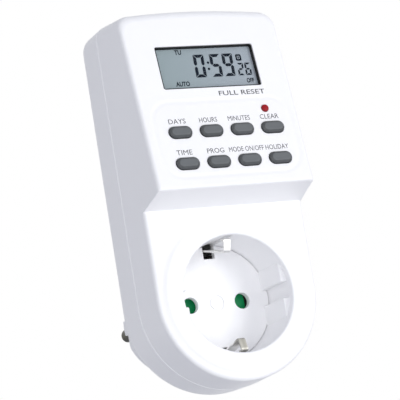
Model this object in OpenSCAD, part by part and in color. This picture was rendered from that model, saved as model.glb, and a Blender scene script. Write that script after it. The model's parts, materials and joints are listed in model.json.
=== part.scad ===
// Plug-in digital weekly timer with an earthed socket in front and an earthed plug behind.
// Frame: +Z up, the front faces -Y, the plug points along +Y. The origin lies on the common
// axis of plug and socket, in the plane of the wall that the timer is plugged into.

/* [Case] */
// Width of the case where its two halves meet
case_w = 58.8; // [57:0.2:62]
// Height of the middle of the arched top above the socket axis
case_top = 97.4; // [96:0.2:104]
// Rise of the arched top from its ends to its middle
top_rise = 1.1; // [0.4:0.1:2]
// Radius of the two upper corners
corner_r = 5; // [3:0.5:7]
// Thickness of the walls of both halves
wall = 2; // [1.6:0.1:2.2]
// Distance of the seam between the halves from the wall plane
seam_y = 24; // [23:0.5:26]
// Inward slope of the side walls from the seam to the lower front
side_draft = 0.7; // [0.3:0.1:1]
// Distance of the flat lower front from the wall plane
lower_y = 38.9; // [38:0.1:41]
// Height of the raised round seat of the socket above the lower front
seat_rise = 0.7; // [0.4:0.1:1.2]
// Radius of the raised round seat
seat_r = 25.4; // [24:0.1:26]
// Width of the bevel round the seat
seat_bevel = 2; // [1.2:0.1:2.2]
// Height of the lower edge of the step
step_z = 29.2; // [28.5:0.1:30]
// Height of the foot of the tilted control face
face_z = 32.4; // [32:0.1:34]
// Distance of the foot of the control face from the wall plane
face_y = 51.9; // [50:0.1:54]
// Angle by which the control face leans back
face_tilt = 9.6; // [8:0.2:12]
// Height of the control face's foot on its own plane
foot_v = 0.8; // [0.5:0.1:1]
// Radius of the round top edge of the control face
brow_r = 4.6; // [3.5:0.1:6]
// Radius of the side edges of the front
edge_r = 1.4; // [1:0.1:2]

/* [Rear cover] */
// Distance of the rear cover's back from the wall plane
back_y = 4.2; // [3.5:0.1:5]
// Radius of the round back edge
back_r = 8.4; // [7:0.2:9]
// Inward slope of the side walls from the seam to the round back edge
rear_draft = 0.15; // [0.1:0.05:0.3]
// Radius of the round plinth that rests on the wall socket
plinth_r = 24.4; // [23.5:0.1:25]
// Depth of the lip by which the rear cover enters the front one
lip_depth = 2; // [1.5:0.1:2.5]
// Clearance round that lip
lip_gap = 0.15; // [0.1:0.05:0.3]

/* [Socket] */
// Radius of the socket's recess
recess_r = 19.5; // [19.5:0.05:20]
// Depth of the recess below the seat
recess_depth = 18; // [17.5:0.1:18.5]
// Thickness of the recess wall
cup_wall = 1.8; // [1.5:0.1:2]
// Thickness of the recess floor
floor_t = 2.2; // [2:0.1:2.4]
// Distance between the two pin holes
pin_pitch = 19; // [18.8:0.05:19.2]
// Radius of the pin holes
hole_r = 2.7; // [2.6:0.05:2.8]
// Distance of the guide blocks' flat faces from the middle
guide_x = 17.1; // [16.9:0.05:17.3]
// Gap between the two guide blocks of a side
guide_gap = 5.3; // [5:0.1:5.6]
// Outer distance across the two guide blocks of a side
guide_span = 18.6; // [18:0.1:19]
// Depth of the guide blocks' ends below the seat
guide_drop = 2.8; // [2:0.1:4]
// Radius of the moulded ring in the middle of the floor
floor_ring_r = 2.7; // [2.4:0.1:3]

/* [Plug] */
// Radius of the plug body
plug_r = 18.4; // [18:0.1:18.8]
// Length of the plug body from the wall plane
plug_len = 17.3; // [17:0.1:17.8]
// Radius of the pins
pin_r = 2.4; // [2.35:0.01:2.43]
// Length of the pins beyond the plug body
pin_len = 19; // [18.5:0.1:19.5]
// Radius of the pins' round ends
pin_tip_r = 1.6; // [1:0.1:2]
// Radius of the pins' shank inside the plug body
shank_r = 2; // [1.8:0.05:2.1]
// Distance of the plug's guide flats from the middle
plug_flat_x = 16.8; // [16.5:0.1:16.9]
// Width of the rib between the guide flats
plug_rib = 4.8; // [4.4:0.1:5]
// Outer distance across the guide flats of a side
plug_flat_span = 19.2; // [19:0.1:19.8]

/* [Earth strips] */
// Width of the strips
strip_w = 3.7; // [3.4:0.1:4.2]
// Thickness of the strips
strip_t = 0.7; // [0.6:0.05:0.8]
// Distance of the strips' middle plane from the axis
strip_z = 16.8; // [16.6:0.05:17]
// Width of the clips' sprung noses
clip_w = 2.5; // [2.2:0.1:3]
// Distance of the clips' middle plane from the axis where they pass the recess floor
clip_root_z = 18; // [17.6:0.1:18.2]
// Distance of the clips' peaks from the axis
clip_peak_z = 14.6; // [14:0.1:15]
// Depth of the clips' peaks below the seat
clip_peak_drop = 4.1; // [3.6:0.1:4.8]
// Depth of the clips' fronts below the seat
clip_end_drop = 2.7; // [2.2:0.1:3]

/* [Display] */
// Width of the display window
window_w = 34.8; // [34:0.2:36]
// Height of the display window
window_h = 14.6; // [14:0.1:15.2]
// Height of the window's middle on the control face
window_v = 43.5; // [43:0.1:44]
// Width of the visible rim of the black bezel
bezel_rim = 0.3; // [0.25:0.05:0.6]
// Depth of the bezel's front below the control face
bezel_drop = 0.4; // [0.2:0.1:0.8]
// Corner radius of the display window
window_r = 0.3; // [0.2:0.1:1]
// Thickness of the display window's clear lens
lens_t = 0.8; // [0.6:0.1:1]
// Thickness of the liquid crystal glass
lcd_t = 2.2; // [2:0.1:2.4]
// Margin of the glass beyond the window at each side
lcd_margin = 1.6; // [1.4:0.1:1.8]

/* [Keys] */
// Distance between keys along a row
key_pitch_x = 11.15; // [10.9:0.05:11.3]
// Distance between the two rows of keys
key_pitch_v = 11; // [10.8:0.05:11.3]
// Side place of the middle of the key field
key_field_x = 0.95; // [0.6:0.05:1.2]
// Height of the lower row on the control face
key_row_v = 9.3; // [9:0.1:9.6]
// Length of a key
key_l = 8; // [7.7:0.1:8.3]
// Width of a key
key_w = 4; // [3.8:0.1:4.3]
// Height by which a pressed key still stands out of the face
key_proud = 0.2; // [0.1:0.05:0.4]
// Chamfer round a key's top
key_chamfer = 0.45; // [0.3:0.05:0.6]
// Clearance round a key in its hole
key_gap = 0.18; // [0.15:0.01:0.3]
// Travel of a key
key_travel = 1; // [0.8:0.05:1.1]
// Side place of the reset button
reset_x = 16.6; // [16.4:0.1:16.8]
// Height of the reset button on the control face
reset_v = 27.2; // [27:0.1:27.4]
// Radius of the reset button
reset_r = 1.35; // [1.2:0.05:1.5]
// Height by which the reset button stands out of the face
reset_rise = 0.7; // [0.5:0.1:0.9]

/* [Boards] */
// Depth of the display board's front below the control face
board_depth = 8.6; // [8.4:0.1:9]
// Thickness of both boards
board_t = 1.6; // [1.5:0.1:1.7]
// Distance of the power board's rear face from the wall plane
power_y = 12; // [11.5:0.1:12.5]
// Width of the power board
power_w = 47; // [46:0.5:48]
// Lower edge of the power board
power_z0 = 36.5; // [36.3:0.1:37]
// Upper edge of the power board
power_z1 = 84.5; // [84:0.1:85]
// Radius of the standby cell
cell_r = 7.8; // [7:0.1:7.9]
// Thickness of the standby cell
cell_t = 5.6; // [5:0.1:6]

/* [Fasteners] */
// Radius of the case screws' shanks
screw_r = 1.4; // [1.2:0.05:1.5]
// Radius of the case screws' heads
screw_head_r = 2.7; // [2.4:0.1:2.9]
// Side place of the case screws
screw_x = 19.5; // [19:0.1:19.8]
// Height of the lower pair of case screws
screw_z0 = 31; // [30.6:0.1:31.4]
// Height of the upper pair of case screws
screw_z1 = 89.5; // [89.3:0.1:89.8]
// Radius of the board screws' shanks
small_screw_r = 0.9; // [0.8:0.05:1]

/* [Shutter] */
// Radius of the shutter's disc
shutter_r = 12.3; // [12.2:0.05:12.4]
// Thickness of the shutter
shutter_t = 3; // [2.4:0.1:3.2]
// Angle through which the shutter turns to open both holes
shutter_turn = 38; // [36:1:40]
// Radius of the stud that the shutter turns on
stud_r = 2; // [1.8:0.05:2.2]
// Running clearance of the shutter on its stud
stud_gap = 0.05; // [0.03:0.01:0.08]

/* [Relay] */
// Side place of the relay on the power board
relay_x = 11.5; // [11.2:0.1:12]
// Height of the relay's middle
relay_z = 52; // [51.5:0.1:52.5]
// Angle through which the armature swings to close
armature_swing = 4; // [3:0.5:4]

/* [Hidden] */
$fn = 48;

// Thickness of the thinnest slice, and overlap of joined shapes
eps = 0.01;
half_w = case_w / 2;
seat_y = lower_y + seat_rise;
floor_y = seat_y - recess_depth;
floor_back_y = floor_y - floor_t;
cup_r = recess_r + cup_wall;
shutter_y = floor_back_y - 0.2;
plate_y = shutter_y - shutter_t - 0.6;
plate_t = 1.6;
tower_end_y = 4.6;
pin_x = pin_pitch / 2;
slot_w = strip_w + 0.5;
slot_room = 2.65;
slot_z0 = clip_root_z - strip_t / 2 - slot_room;
case_screw_y = 11.5;
post_r = 3;
relay_y = power_y + board_t;

// ---------- shared shapes ----------

// Draws its children with local X across, local Y up the control face and local Z out of it.
module on_face() {
    translate([0, -face_y, face_z]) rotate([90 - face_tilt, 0, 0]) children();
}

// Stands a local Z axis along the plug axis, away from the wall, at a distance from its plane.
module facing_front(y) {
    translate([0, -y, 0]) rotate([90, 0, 0]) children();
}

// Points of a round arc about a centre, from one angle to another.
function arc(cx, cy, r, a0, a1, steps) =
    [for (i = [0 : steps]) let (a = a0 + (a1 - a0) * i / steps) [cx + r * cos(a), cy + r * sin(a)]];

// Upper end of the case outline, from the right side over the arched top to the left side.
function crown(hw, top, cr) = concat(
    arc(hw - cr, top - top_rise - cr, cr, 0, 90, 6),
    [for (i = [1 : 5]) let (s = 1 - i / 3) [(hw - cr) * s, top - top_rise * s * s]],
    arc(cr - hw, top - top_rise - cr, cr, 90, 180, 6)
);

// Thin slice of the case outline with a round lower end, drawn in by an inset.
module case_slice(y, inset, top) {
    facing_front(y) linear_extrude(eps)
        polygon(concat(arc(0, 0, half_w - inset, 180, 360, 40), crown(half_w - inset, top - inset,
            corner_r)));
}

// Thin slice of the upper case with a straight lower end.
module upper_slice(y, inset, low) {
    facing_front(y) linear_extrude(eps)
        polygon(concat([[inset - half_w, low], [half_w - inset, low]],
            crown(half_w - inset, case_top - inset, corner_r)));
}

// Inset of a quarter-round edge at a depth below its face.
function round_inset(r, depth) = depth >= r ? 0 : r - sqrt(r * r - (r - depth) * (r - depth));

// Side inset of the tapering front at a distance from the wall plane.
function draft_at(y) = side_draft * (y - seam_y) / (lower_y - seam_y);

// Height of the case top seen along the control face, at a depth below that face.
face_top_v = (case_top - face_z) / cos(face_tilt);

// Thin slice parallel to the control face, at a depth below it, inside a skin of a thickness.
module face_slice(depth, skin) {
    side = half_w - draft_at(face_y - 4) - skin - round_inset(edge_r, depth);
    top = face_top_v - skin - round_inset(brow_r, depth) - depth * tan(face_tilt);
    foot = foot_v + skin + round_inset(edge_r, depth);
    on_face() translate([0, 0, -depth - skin]) linear_extrude(eps)
        polygon(concat([[-side, foot], [side, foot]], crown(side, top, corner_r)));
}

// Lower half of the front cover as a solid, drawn in by a skin thickness.
module lower_form(skin) {
    hull() {
        case_slice(seam_y - (skin > 0 ? 1 : 0), skin, face_z + 20);
        case_slice(lower_y - edge_r - skin, draft_at(lower_y) + skin, face_z + 20);
        case_slice(lower_y - edge_r * 0.3 - skin, draft_at(lower_y) + skin + edge_r * 0.29,
            face_z + 20);
        case_slice(lower_y - skin, draft_at(lower_y) + skin + edge_r, face_z + 20);
    }
}

// Raised upper half of the front cover as a solid, drawn in by a skin thickness.
module upper_form(skin) {
    hull() {
        upper_slice(seam_y - (skin > 0 ? 1 : 0), skin, step_z + skin - 4);
        upper_slice(lower_y - skin, draft_at(lower_y) + skin, step_z + skin);
        for (depth = [0, 0.25, 0.8, 2, brow_r]) face_slice(depth, skin);
    }
}

// Rear cover as a solid with a round back edge, drawn in by a skin thickness.
module rear_form(skin) {
    hull() {
        case_slice(seam_y - eps + (skin > 0 ? 1 : 0), skin, case_top);
        for (a = [0, 20, 40, 60, 75, 90])
            case_slice(back_y + skin + (back_r - skin) * (1 - sin(a)),
                skin + rear_draft + (back_r - skin) * (1 - cos(a)), case_top);
    }
}

// Flat stadium with round ends.
module stadium(l, w) {
    square([l - w, w], center = true);
    for (s = [-1, 1]) translate([s * (l - w) / 2, 0]) circle(d = w);
}

// Rectangle with round corners.
module round_rect(w, h, r) {
    square([w - 2 * r, h], center = true);
    square([w, h - 2 * r], center = true);
    for (sx = [-1, 1], sy = [-1, 1]) translate([sx * (w / 2 - r), sy * (h / 2 - r)]) circle(r);
}

// Pushes a point of a path sideways by a distance, along the bisector of its two legs.
function unit(v) = v / norm(v);
function leg(p, i) = unit(p[min(i + 1, len(p) - 1)] - p[min(i, len(p) - 2)]);
function before(p, i) = unit(p[max(i, 1)] - p[max(i - 1, 0)]);
function aside(p, i, d) =
    let (a = before(p, i), b = leg(p, i), m = unit(a + b), n = [-m[1], m[0]])
    p[i] + n * d / (n * [-a[1], a[0]]);

// Outline of a strip of even thickness along a path.
function strip_outline(p, t) = concat(
    [for (i = [0 : len(p) - 1]) aside(p, i, t / 2)],
    [for (i = [len(p) - 1 : -1 : 0]) aside(p, i, -t / 2)]
);

// Bent strip: a path in Y and Z, given as distance from the wall plane and height.
module strip(path, t, w) {
    rotate([90, 0, -90]) translate([0, 0, -w / 2]) linear_extrude(w)
        polygon(strip_outline(path, t));
}

// Round wire along a route: one closed polyhedron with a ring of sides at each point. The
// route never runs along the reference axis, which keeps the rings from twisting.
function tangent(p, i) = unit(p[min(i + 1, len(p) - 1)] - p[max(i - 1, 0)]);
module wire(route, r, sides, reference) {
    n = len(route);
    points = [for (i = [0 : n - 1], k = [0 : sides - 1])
        let (t = tangent(route, i), u = unit(cross(t, reference)), v = cross(t, u),
            a = 360 * k / sides)
        route[i] + r * (cos(a) * u + sin(a) * v)];
    faces = concat(
        [[for (k = [0 : sides - 1]) k]],
        [for (i = [0 : n - 2], k = [0 : sides - 1]) let (k2 = (k + 1) % sides)
            [i * sides + k, (i + 1) * sides + k, (i + 1) * sides + k2, i * sides + k2]],
        [[for (k = [sides - 1 : -1 : 0]) (n - 1) * sides + k]]
    );
    polyhedron(points, faces, convexity = 4);
}

// Point of a smooth curve through a list of points, between points i and i + 1.
function curve_point(p, i, t) =
    let (a = p[max(i - 1, 0)], b = p[i], c = p[i + 1], d = p[min(i + 2, len(p) - 1)])
    0.5 * (2 * b + (c - a) * t + (2 * a - 5 * b + 4 * c - d) * t * t
        + (3 * b - 3 * c + d - a) * t * t * t);
function smooth_route(p, steps) = concat(
    [for (i = [0 : len(p) - 2], s = [0 : steps - 1]) curve_point(p, i, s / steps)],
    [p[len(p) - 1]]
);

// ---------- front cover ----------

// Places its children at each corner screw of the case.
module at_case_screws() {
    for (s = [-1, 1], z = [screw_z0, screw_z1]) translate([s * screw_x, 0, z]) children();
}

// Places its children at the display board's screws, on the control face.
module at_board_screws() {
    for (s = [-1, 1], v = [board_screw_v0, board_screw_v1]) translate([s * board_screw_x, v, 0])
        children();
}

// Places its children at the two screws of the contact block.
module at_block_screws() {
    for (s = [-1, 1]) rotate([0, s > 0 ? 0 : 180, 0])
        translate([block_screw_x, 0, block_screw_z]) children();
}

board_screw_x = half_w - wall - 4.4;
board_screw_v0 = 3.9;
board_screw_v1 = 30;
block_screw_x = 8.2;
block_screw_z = 12.6;
small_head_r = small_screw_r + 0.9;

// Middle of a key on the control face, from its column and row.
function key_x(col) = key_field_x + (col - 1.5) * key_pitch_x;
function key_v(row) = key_row_v + row * key_pitch_v;

// Guide blocks on both sides of the recess.
module guide_blocks() {
    intersection() {
        for (sx = [-1, 1], sz = [-1, 1])
            translate([sx > 0 ? guide_x : -guide_x - 4, -seat_y + guide_drop,
                sz > 0 ? guide_gap / 2 : -guide_span / 2])
                cube([4, recess_depth - guide_drop + floor_t / 2, (guide_span - guide_gap) / 2]);
        facing_front(floor_back_y) cylinder(h = recess_depth + floor_t, r = cup_r - cup_wall / 2);
    }
}

// Slots by which the earth strips pass the recess floor.
module strip_slots() {
    for (s = [-1, 1]) translate([-slot_w / 2, -floor_y - 0.6, s > 0 ? slot_z0 : -recess_r - 0.4])
        cube([slot_w, floor_t + 1.6, recess_r + 0.4 - slot_z0]);
}

module front_cover() color("whitesmoke") {
    difference() {
        union() {
            difference() {
                union() {
                    lower_form(0);
                    upper_form(0);
                    facing_front(lower_y - 1) cylinder(h = 1, r = seat_r + seat_bevel);
                    facing_front(lower_y) cylinder(h = seat_rise, r1 = seat_r + seat_bevel,
                        r2 = seat_r);
                }
                lower_form(wall);
                upper_form(wall);
            }
            facing_front(floor_back_y) cylinder(h = seat_y - floor_back_y - 0.5, r = cup_r);
            facing_front(plate_y + 0.1) cylinder(h = floor_back_y - plate_y, r = stud_r);
            at_block_screws() facing_front(plate_y) cylinder(h = floor_back_y - plate_y + 0.5,
                r = 2.2);
            for (s = [-1, 1]) translate([s * screw_x, 0, screw_z0])
                facing_front(seam_y + 0.05) cylinder(h = lower_y - seam_y - 0.4, r = post_r);
            for (s = [-1, 1]) translate([s * screw_x, 0, screw_z1])
                facing_front(seam_y + 0.05) cylinder(h = top_post_y - seam_y, r = post_r);
            on_face() at_board_screws() translate([0, 0, -board_depth])
                cylinder(h = board_depth - wall / 2, r = 1.9);
        }
        facing_front(floor_y) cylinder(h = recess_depth + 1, r = recess_r);
        for (s = [-1, 1]) translate([s * pin_x, 0, 0]) facing_front(floor_back_y - 1)
            cylinder(h = floor_t + 2, r = hole_r);
        strip_slots();
        facing_front(floor_y - 0.25) difference() {
            cylinder(h = 0.3, r = floor_ring_r);
            translate([0, 0, -1]) cylinder(h = 3, r = floor_ring_r - 0.35);
        }
        at_block_screws() facing_front(plate_y - 1) cylinder(h = 4, r = small_screw_r + 0.02);
        at_case_screws() facing_front(seam_y - 1) cylinder(h = case_thread + 2, r = screw_r + 0.02);
        on_face() {
            translate([0, window_v, -wall - 1]) linear_extrude(wall + 2)
                round_rect(window_w + 2 * bezel_rim + 0.2, window_h + 2 * bezel_rim + 0.2,
                    window_r + bezel_rim + 0.1);
            for (col = [0 : 3], row = [0 : 1]) translate([key_x(col), key_v(row), -wall - 1])
                linear_extrude(wall + 2) stadium(key_l + 2 * key_gap, key_w + 2 * key_gap);
            translate([reset_x, reset_v, -wall - 1]) cylinder(h = wall + 2, r = reset_r + key_gap);
            at_board_screws() translate([0, 0, -board_depth - 1]) cylinder(h = 5.4,
                r = small_screw_r + 0.02);
        }
    }
    guide_blocks();
}

top_post_y = face_y - (screw_z1 - face_z) * tan(face_tilt) - wall / 2;
case_thread = 9;

// ---------- rear cover ----------

// Ring of the case outline between two insets.
module rim_ring(y, h, inset0, inset1) {
    facing_front(y) linear_extrude(h) difference() {
        polygon(concat(arc(0, 0, half_w - inset0, 180, 360, 40),
            crown(half_w - inset0, case_top - inset0, corner_r)));
        polygon(concat(arc(0, 0, half_w - inset1, 180, 360, 40),
            crown(half_w - inset1, case_top - inset1, corner_r - 1)));
    }
}

power_screw_x = power_w / 2 - 3;
power_screw_z0 = power_z0 + 4;
power_screw_z1 = power_z1 - 4;
module at_power_screws() {
    for (s = [-1, 1], z = [power_screw_z0, power_screw_z1])
        translate([s * power_screw_x, 0, z]) children();
}

// Posts for the case screws and the power board, and the stiffening ring inside the mouth.
module rear_posts() {
    at_case_screws() {
        facing_front(0) cylinder(h = case_screw_y + 2.5, r = rear_post_r);
        facing_front(case_screw_y) cylinder(h = seam_y - case_screw_y, r = post_r);
    }
    at_power_screws() facing_front(0) cylinder(h = power_y, r = 2.4);
    rim_ring(seam_y - 4, 4, wall - 0.3, wall + lip_gap + 1.3);
}

hollow_h = 21;

// Pockets in the plug body: guide flats, earth grooves, pin holes and the hollow inside.
module plug_pockets() {
    facing_front(2.4 - plug_len) linear_extrude(plug_len + wall) intersection() {
        square([pin_pitch + 11.4, hollow_h], center = true);
        circle(r = plug_r - 2.6);
    }
    for (s = [-1, 1]) translate([s * pin_x, 0, 0]) facing_front(-plug_len - 1)
        cylinder(h = 5, r = shank_r + 0.03);
    for (sx = [-1, 1], sz = [-1, 1])
        translate([sx > 0 ? plug_flat_x : -plug_flat_x - 4, 2,
            sz > 0 ? plug_rib / 2 : -plug_flat_span / 2])
            cube([4, plug_len, (plug_flat_span - plug_rib) / 2]);
    for (s = [-1, 1]) {
        translate([-slot_w / 2, -eps, s > 0 ? strip_z - strip_t / 2 - 0.1 : -plug_r - 1])
            cube([slot_w, plug_len + 1, plug_r + 1 - strip_z + strip_t / 2 + 0.1]);
        translate([-slot_w / 2, -wall - 1, s * strip_z - strip_t / 2 - 0.1])
            cube([slot_w, wall + 2, strip_t + 0.2]);
    }
}

module rear_cover() color("lavender") difference() {
    union() {
        difference() {
            union() {
                rear_form(0);
                facing_front(0.8) cylinder(h = back_y + 1.2, r = plinth_r);
                facing_front(0) cylinder(h = 0.8, r1 = plinth_r - 0.8, r2 = plinth_r);
                facing_front(1.2 - plug_len) cylinder(h = plug_len, r = plug_r);
                facing_front(-plug_len) cylinder(h = 1.2, r1 = plug_r - 1.2, r2 = plug_r);
            }
            difference() {
                union() {
                    rear_form(wall);
                    facing_front(wall) cylinder(h = back_y + 0.5, r = plinth_r - wall);
                }
                rear_posts();
            }
        }
        rim_ring(seam_y - 0.1, lip_depth + 0.1, wall + lip_gap + 0.1, wall + lip_gap + 1.3);
    }
    plug_pockets();
    at_case_screws() {
        facing_front(-1) cylinder(h = case_screw_y + 1, r = screw_head_r + 0.3);
        facing_front(1) cylinder(h = seam_y, r = screw_r + 0.25);
    }
    at_power_screws() facing_front(power_y - 4.5) cylinder(h = 6, r = small_screw_r + 0.02);
}

rear_post_r = screw_head_r + 1.2;

// ---------- display ----------

glass_w = window_w + 2 * lcd_margin;
glass_h = window_h + 2 * lcd_margin;
lens_z = -wall - 0.6;
glass_z = lens_z - lens_t - 0.1;

module display_bezel() color("black") on_face() translate([0, window_v, 0]) difference() {
    union() {
        translate([0, 0, -wall - 0.5]) linear_extrude(wall + 0.5 - bezel_drop)
            round_rect(window_w + 2 * bezel_rim, window_h + 2 * bezel_rim, window_r + bezel_rim);
        translate([0, 0, -board_depth + 0.05]) linear_extrude(board_depth - wall - 0.1)
            round_rect(glass_w + 3.4, glass_h + 3.4, 1.5);
    }
    translate([0, 0, -wall - 2]) linear_extrude(wall + 3) round_rect(window_w, window_h, window_r);
    translate([0, 0, -board_depth - 1]) linear_extrude(board_depth + 1 + lens_z)
        square([glass_w + 0.4, glass_h + 0.4], center = true);
}

module display_lens() color("azure", 0.4) on_face()
    translate([0, window_v, lens_z - lens_t - 0.02]) linear_extrude(lens_t)
        round_rect(glass_w, glass_h, 0.8);

module lcd_glass() color("darkslategray") on_face()
    translate([0, window_v, glass_z - lcd_t]) linear_extrude(lcd_t)
        square([glass_w, glass_h], center = true);

module zebra_strips() color("dimgray") on_face() for (s = [-1, 1])
    translate([-glass_w / 2 + 1, window_v + s * (glass_h / 2 - 1.4) - 1, 0.05 - board_depth])
        cube([glass_w - 2, 2, board_depth + glass_z - lcd_t - 0.1]);

// ---------- keys ----------

key_rise = key_travel + key_proud;
dome_top = -board_depth + 3;
key_flange_z = -wall - 0.3;
dome_r = 3;

// A key cap with chamfered top, retaining flange and stem, centred on its hole.
module key_cap(col, row) color("dimgray") on_face() translate([key_x(col), key_v(row), 0]) {
    translate([0, 0, key_flange_z - eps]) linear_extrude(key_rise - key_chamfer - key_flange_z)
        stadium(key_l, key_w);
    hull() for (s = [-1, 1])
        translate([s * (key_l - key_w) / 2, 0, key_rise - key_chamfer - 0.02])
            cylinder(h = key_chamfer + 0.02, d1 = key_w, d2 = key_w - 2 * key_chamfer, $fn = 32);
    translate([0, 0, key_flange_z - 1]) linear_extrude(1) stadium(key_l + 1.6, key_w + 1.6);
    translate([0, 0, dome_top + 0.1]) cylinder(h = key_flange_z - dome_top - 0.1, r = 1.5);
}

module reset_button() color("firebrick") on_face() translate([reset_x, reset_v, 0]) {
    translate([0, 0, key_flange_z]) cylinder(h = reset_rise - key_flange_z - 0.2, r = reset_r);
    translate([0, 0, reset_rise - 0.2]) cylinder(h = 0.2, r1 = reset_r, r2 = reset_r - 0.2);
    translate([0, 0, key_flange_z - 1]) cylinder(h = 1, r = reset_r + 0.9);
    translate([0, 0, dome_top + 0.1]) cylinder(h = key_flange_z - dome_top - 0.5, r = 1);
}

// Silicone mat with one hollow dome under each key and one under the reset button.
module dome() difference() {
    cylinder(h = dome_top + board_depth, r1 = dome_r, r2 = 1.8);
    translate([0, 0, -1]) cylinder(h = dome_top + board_depth, r1 = dome_r - 0.3, r2 = 1.3);
}

module keypad_mat() color("gainsboro") on_face() {
    difference() {
        translate([key_field_x, mat_v, -board_depth + 0.02]) linear_extrude(0.9)
            round_rect(mat_w, mat_h, 1.5);
        for (p = dome_places) translate([p[0], p[1], -board_depth - 1]) cylinder(h = 3,
            r = dome_r - 0.25);
        at_board_screws() translate([0, 0, -board_depth - 1]) cylinder(h = 3, r = 2.2);
    }
    for (p = dome_places) translate([p[0], p[1], -board_depth + 0.02]) dome();
}

dome_places = concat(
    [for (col = [0 : 3], row = [0 : 1]) [key_x(col), key_v(row)]],
    [[reset_x, reset_v]]
);
mat_v0 = key_v(0) - 4.4;
mat_v1 = reset_v + 3.9;
mat_v = (mat_v0 + mat_v1) / 2;
mat_h = mat_v1 - mat_v0;
mat_w = 3 * key_pitch_x + 8;

// ---------- display board ----------

board_w = 2 * (half_w - wall) - 5;
board_v0 = 2.4;
board_v1 = window_v + glass_h / 2 + 2.5;
board_back = -board_depth - board_t;

module display_board() color("seagreen") on_face() difference() {
    translate([-board_w / 2, board_v0, board_back]) cube([board_w, board_v1 - board_v0, board_t]);
    at_board_screws() translate([0, 0, board_back - 1]) cylinder(h = board_t + 2,
        r = small_screw_r + 0.2);
}

// Screw with a cross-recessed head, its seat at the origin and its head along +Z.
module screw(shank, length, head, height) {
    translate([0, 0, -length]) cylinder(h = length, r = shank);
    difference() {
        cylinder(h = height, r = head);
        for (a = [0, 90]) rotate(a) translate([-head * 0.6, -0.3, height * 0.5])
            cube([head * 1.2, 0.6, height]);
    }
}

module board_screws() color("silver") on_face() at_board_screws() translate([0, 0, board_back])
    mirror([0, 0, 1]) screw(small_screw_r, 5, small_head_r, 1.2);

module controller_chip() color("black") on_face() translate([-5, 17, board_back - 0.02])
    intersection() {
        translate([0, 0, 6.4]) sphere(r = 8.2, $fn = 48);
        translate([-8, -8, -4]) cube([16, 16, 4]);
    }

module clock_crystal() color("silver") on_face() translate([7, 8, board_back - 1.1]) {
    rotate([0, 90, 0]) cylinder(h = 6.2, r = 1.05);
    for (s = [-1, 1]) translate([-2, s * 0.5, 0]) rotate([0, 90, 0]) cylinder(h = 2.1, r = 0.2);
    for (s = [-1, 1]) translate([-2, s * 0.5, -0.2]) cylinder(h = 1.28, r = 0.2);
}

cell_x = -8;
cell_v = 40;
module standby_cell() color("lightsteelblue") on_face()
    translate([cell_x, cell_v, board_back - 0.7 - cell_t]) {
        cylinder(h = cell_t - 0.8, r = cell_r);
        cylinder(h = cell_t, r = cell_r - 1.2);
    }

// Welded tabs: one under the cell, one over it and down to the board.
module cell_tabs() color("silver") on_face() translate([cell_x, cell_v, board_back]) {
    translate([-2, -2, -0.65]) cube([4, 4, 0.6]);
    translate([-2, -cell_r - 1.6, -1.1 - cell_t]) cube([4, cell_r + 4, 0.35]);
    translate([-2, -cell_r - 1.6, -1 - cell_t]) cube([4, 0.4, cell_t + 0.95]);
}

// Flat cable between the two boards, from the display board's rear face down to the power board.
ribbon_x = 10;
ribbon_t = 0.5;
ribbon_w = 8;
ribbon_v = 51.6;
ribbon_start = board_depth + board_t + ribbon_t / 2 + 0.06;
ribbon_y = relay_y + ribbon_t / 2 + 0.06;

// Distance from the wall plane and height of a point behind the control face.
function behind_face(v, depth) = [face_y - v * sin(face_tilt) - depth * cos(face_tilt),
    face_z + v * cos(face_tilt) - depth * sin(face_tilt)];

module ribbon_cable() color("lightgray") translate([ribbon_x, 0, 0])
    strip(concat([behind_face(ribbon_v - 2, ribbon_start)], smooth_route([
        behind_face(ribbon_v, ribbon_start), behind_face(ribbon_v + 2.2, ribbon_start + 1.4),
        [seam_y, power_z1 + 1.7], [seam_y - 6, power_z1 - 1.1], [ribbon_y, power_z1 - 5]], 4),
        [[ribbon_y, power_z1 - 8]]), ribbon_t, ribbon_w);

// ---------- power board ----------

module power_board() color("peru") difference() {
    translate([-power_w / 2, -power_y - board_t, power_z0])
        cube([power_w, board_t, power_z1 - power_z0]);
    at_power_screws() facing_front(power_y - 1) cylinder(h = board_t + 2, r = small_screw_r + 0.2);
}

module power_board_screws() color("silver") at_power_screws() facing_front(relay_y)
    screw(small_screw_r, 5, small_head_r, 1.2);

// Places its children on the front of the power board, local Z out of the board.
module on_power_board(x, z) {
    translate([x, -relay_y, z]) rotate([90, 0, 0]) children();
}

film_x = -17.5;
film_z = 54;
film_w = 7;
film_l = 18;
film_h = 12;
film_pitch = 15;
module film_capacitor() color("goldenrod") on_power_board(film_x, film_z) {
    translate([-film_w / 2, -film_l / 2, 0.4]) cube([film_w, film_l, film_h]);
    for (s = [-1, 1]) translate([0, s * film_pitch / 2, 0.02]) cylinder(h = 0.6, r = 0.4);
}

smoother_x = -6;
smoother_z = 68;
smoother_r = 5;
smoother_h = 11.5;
smoother_pitch = 2.6;
module smoothing_capacitor() color("midnightblue") on_power_board(smoother_x, smoother_z) {
    translate([0, 0, 0.3]) cylinder(h = smoother_h, r = smoother_r);
    for (s = [-1, 1]) translate([s * smoother_pitch / 2, 0, 0.02]) cylinder(h = 0.6, r = 0.3);
}

// Part with wire ends bent down to the board, lying along local Y.
module axial_part(r, l, reach) {
    translate([0, l / 2, r + 0.4]) rotate([90, 0, 0]) cylinder(h = l, r = r);
    for (s = [-1, 1]) {
        translate([0, s > 0 ? reach : -l / 2, r + 0.4]) rotate([90, 0, 0])
            cylinder(h = reach - l / 2, r = 0.3);
        translate([0, s * (reach - 0.3), 0.02]) cylinder(h = r + 0.5, r = 0.3);
    }
}

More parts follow.
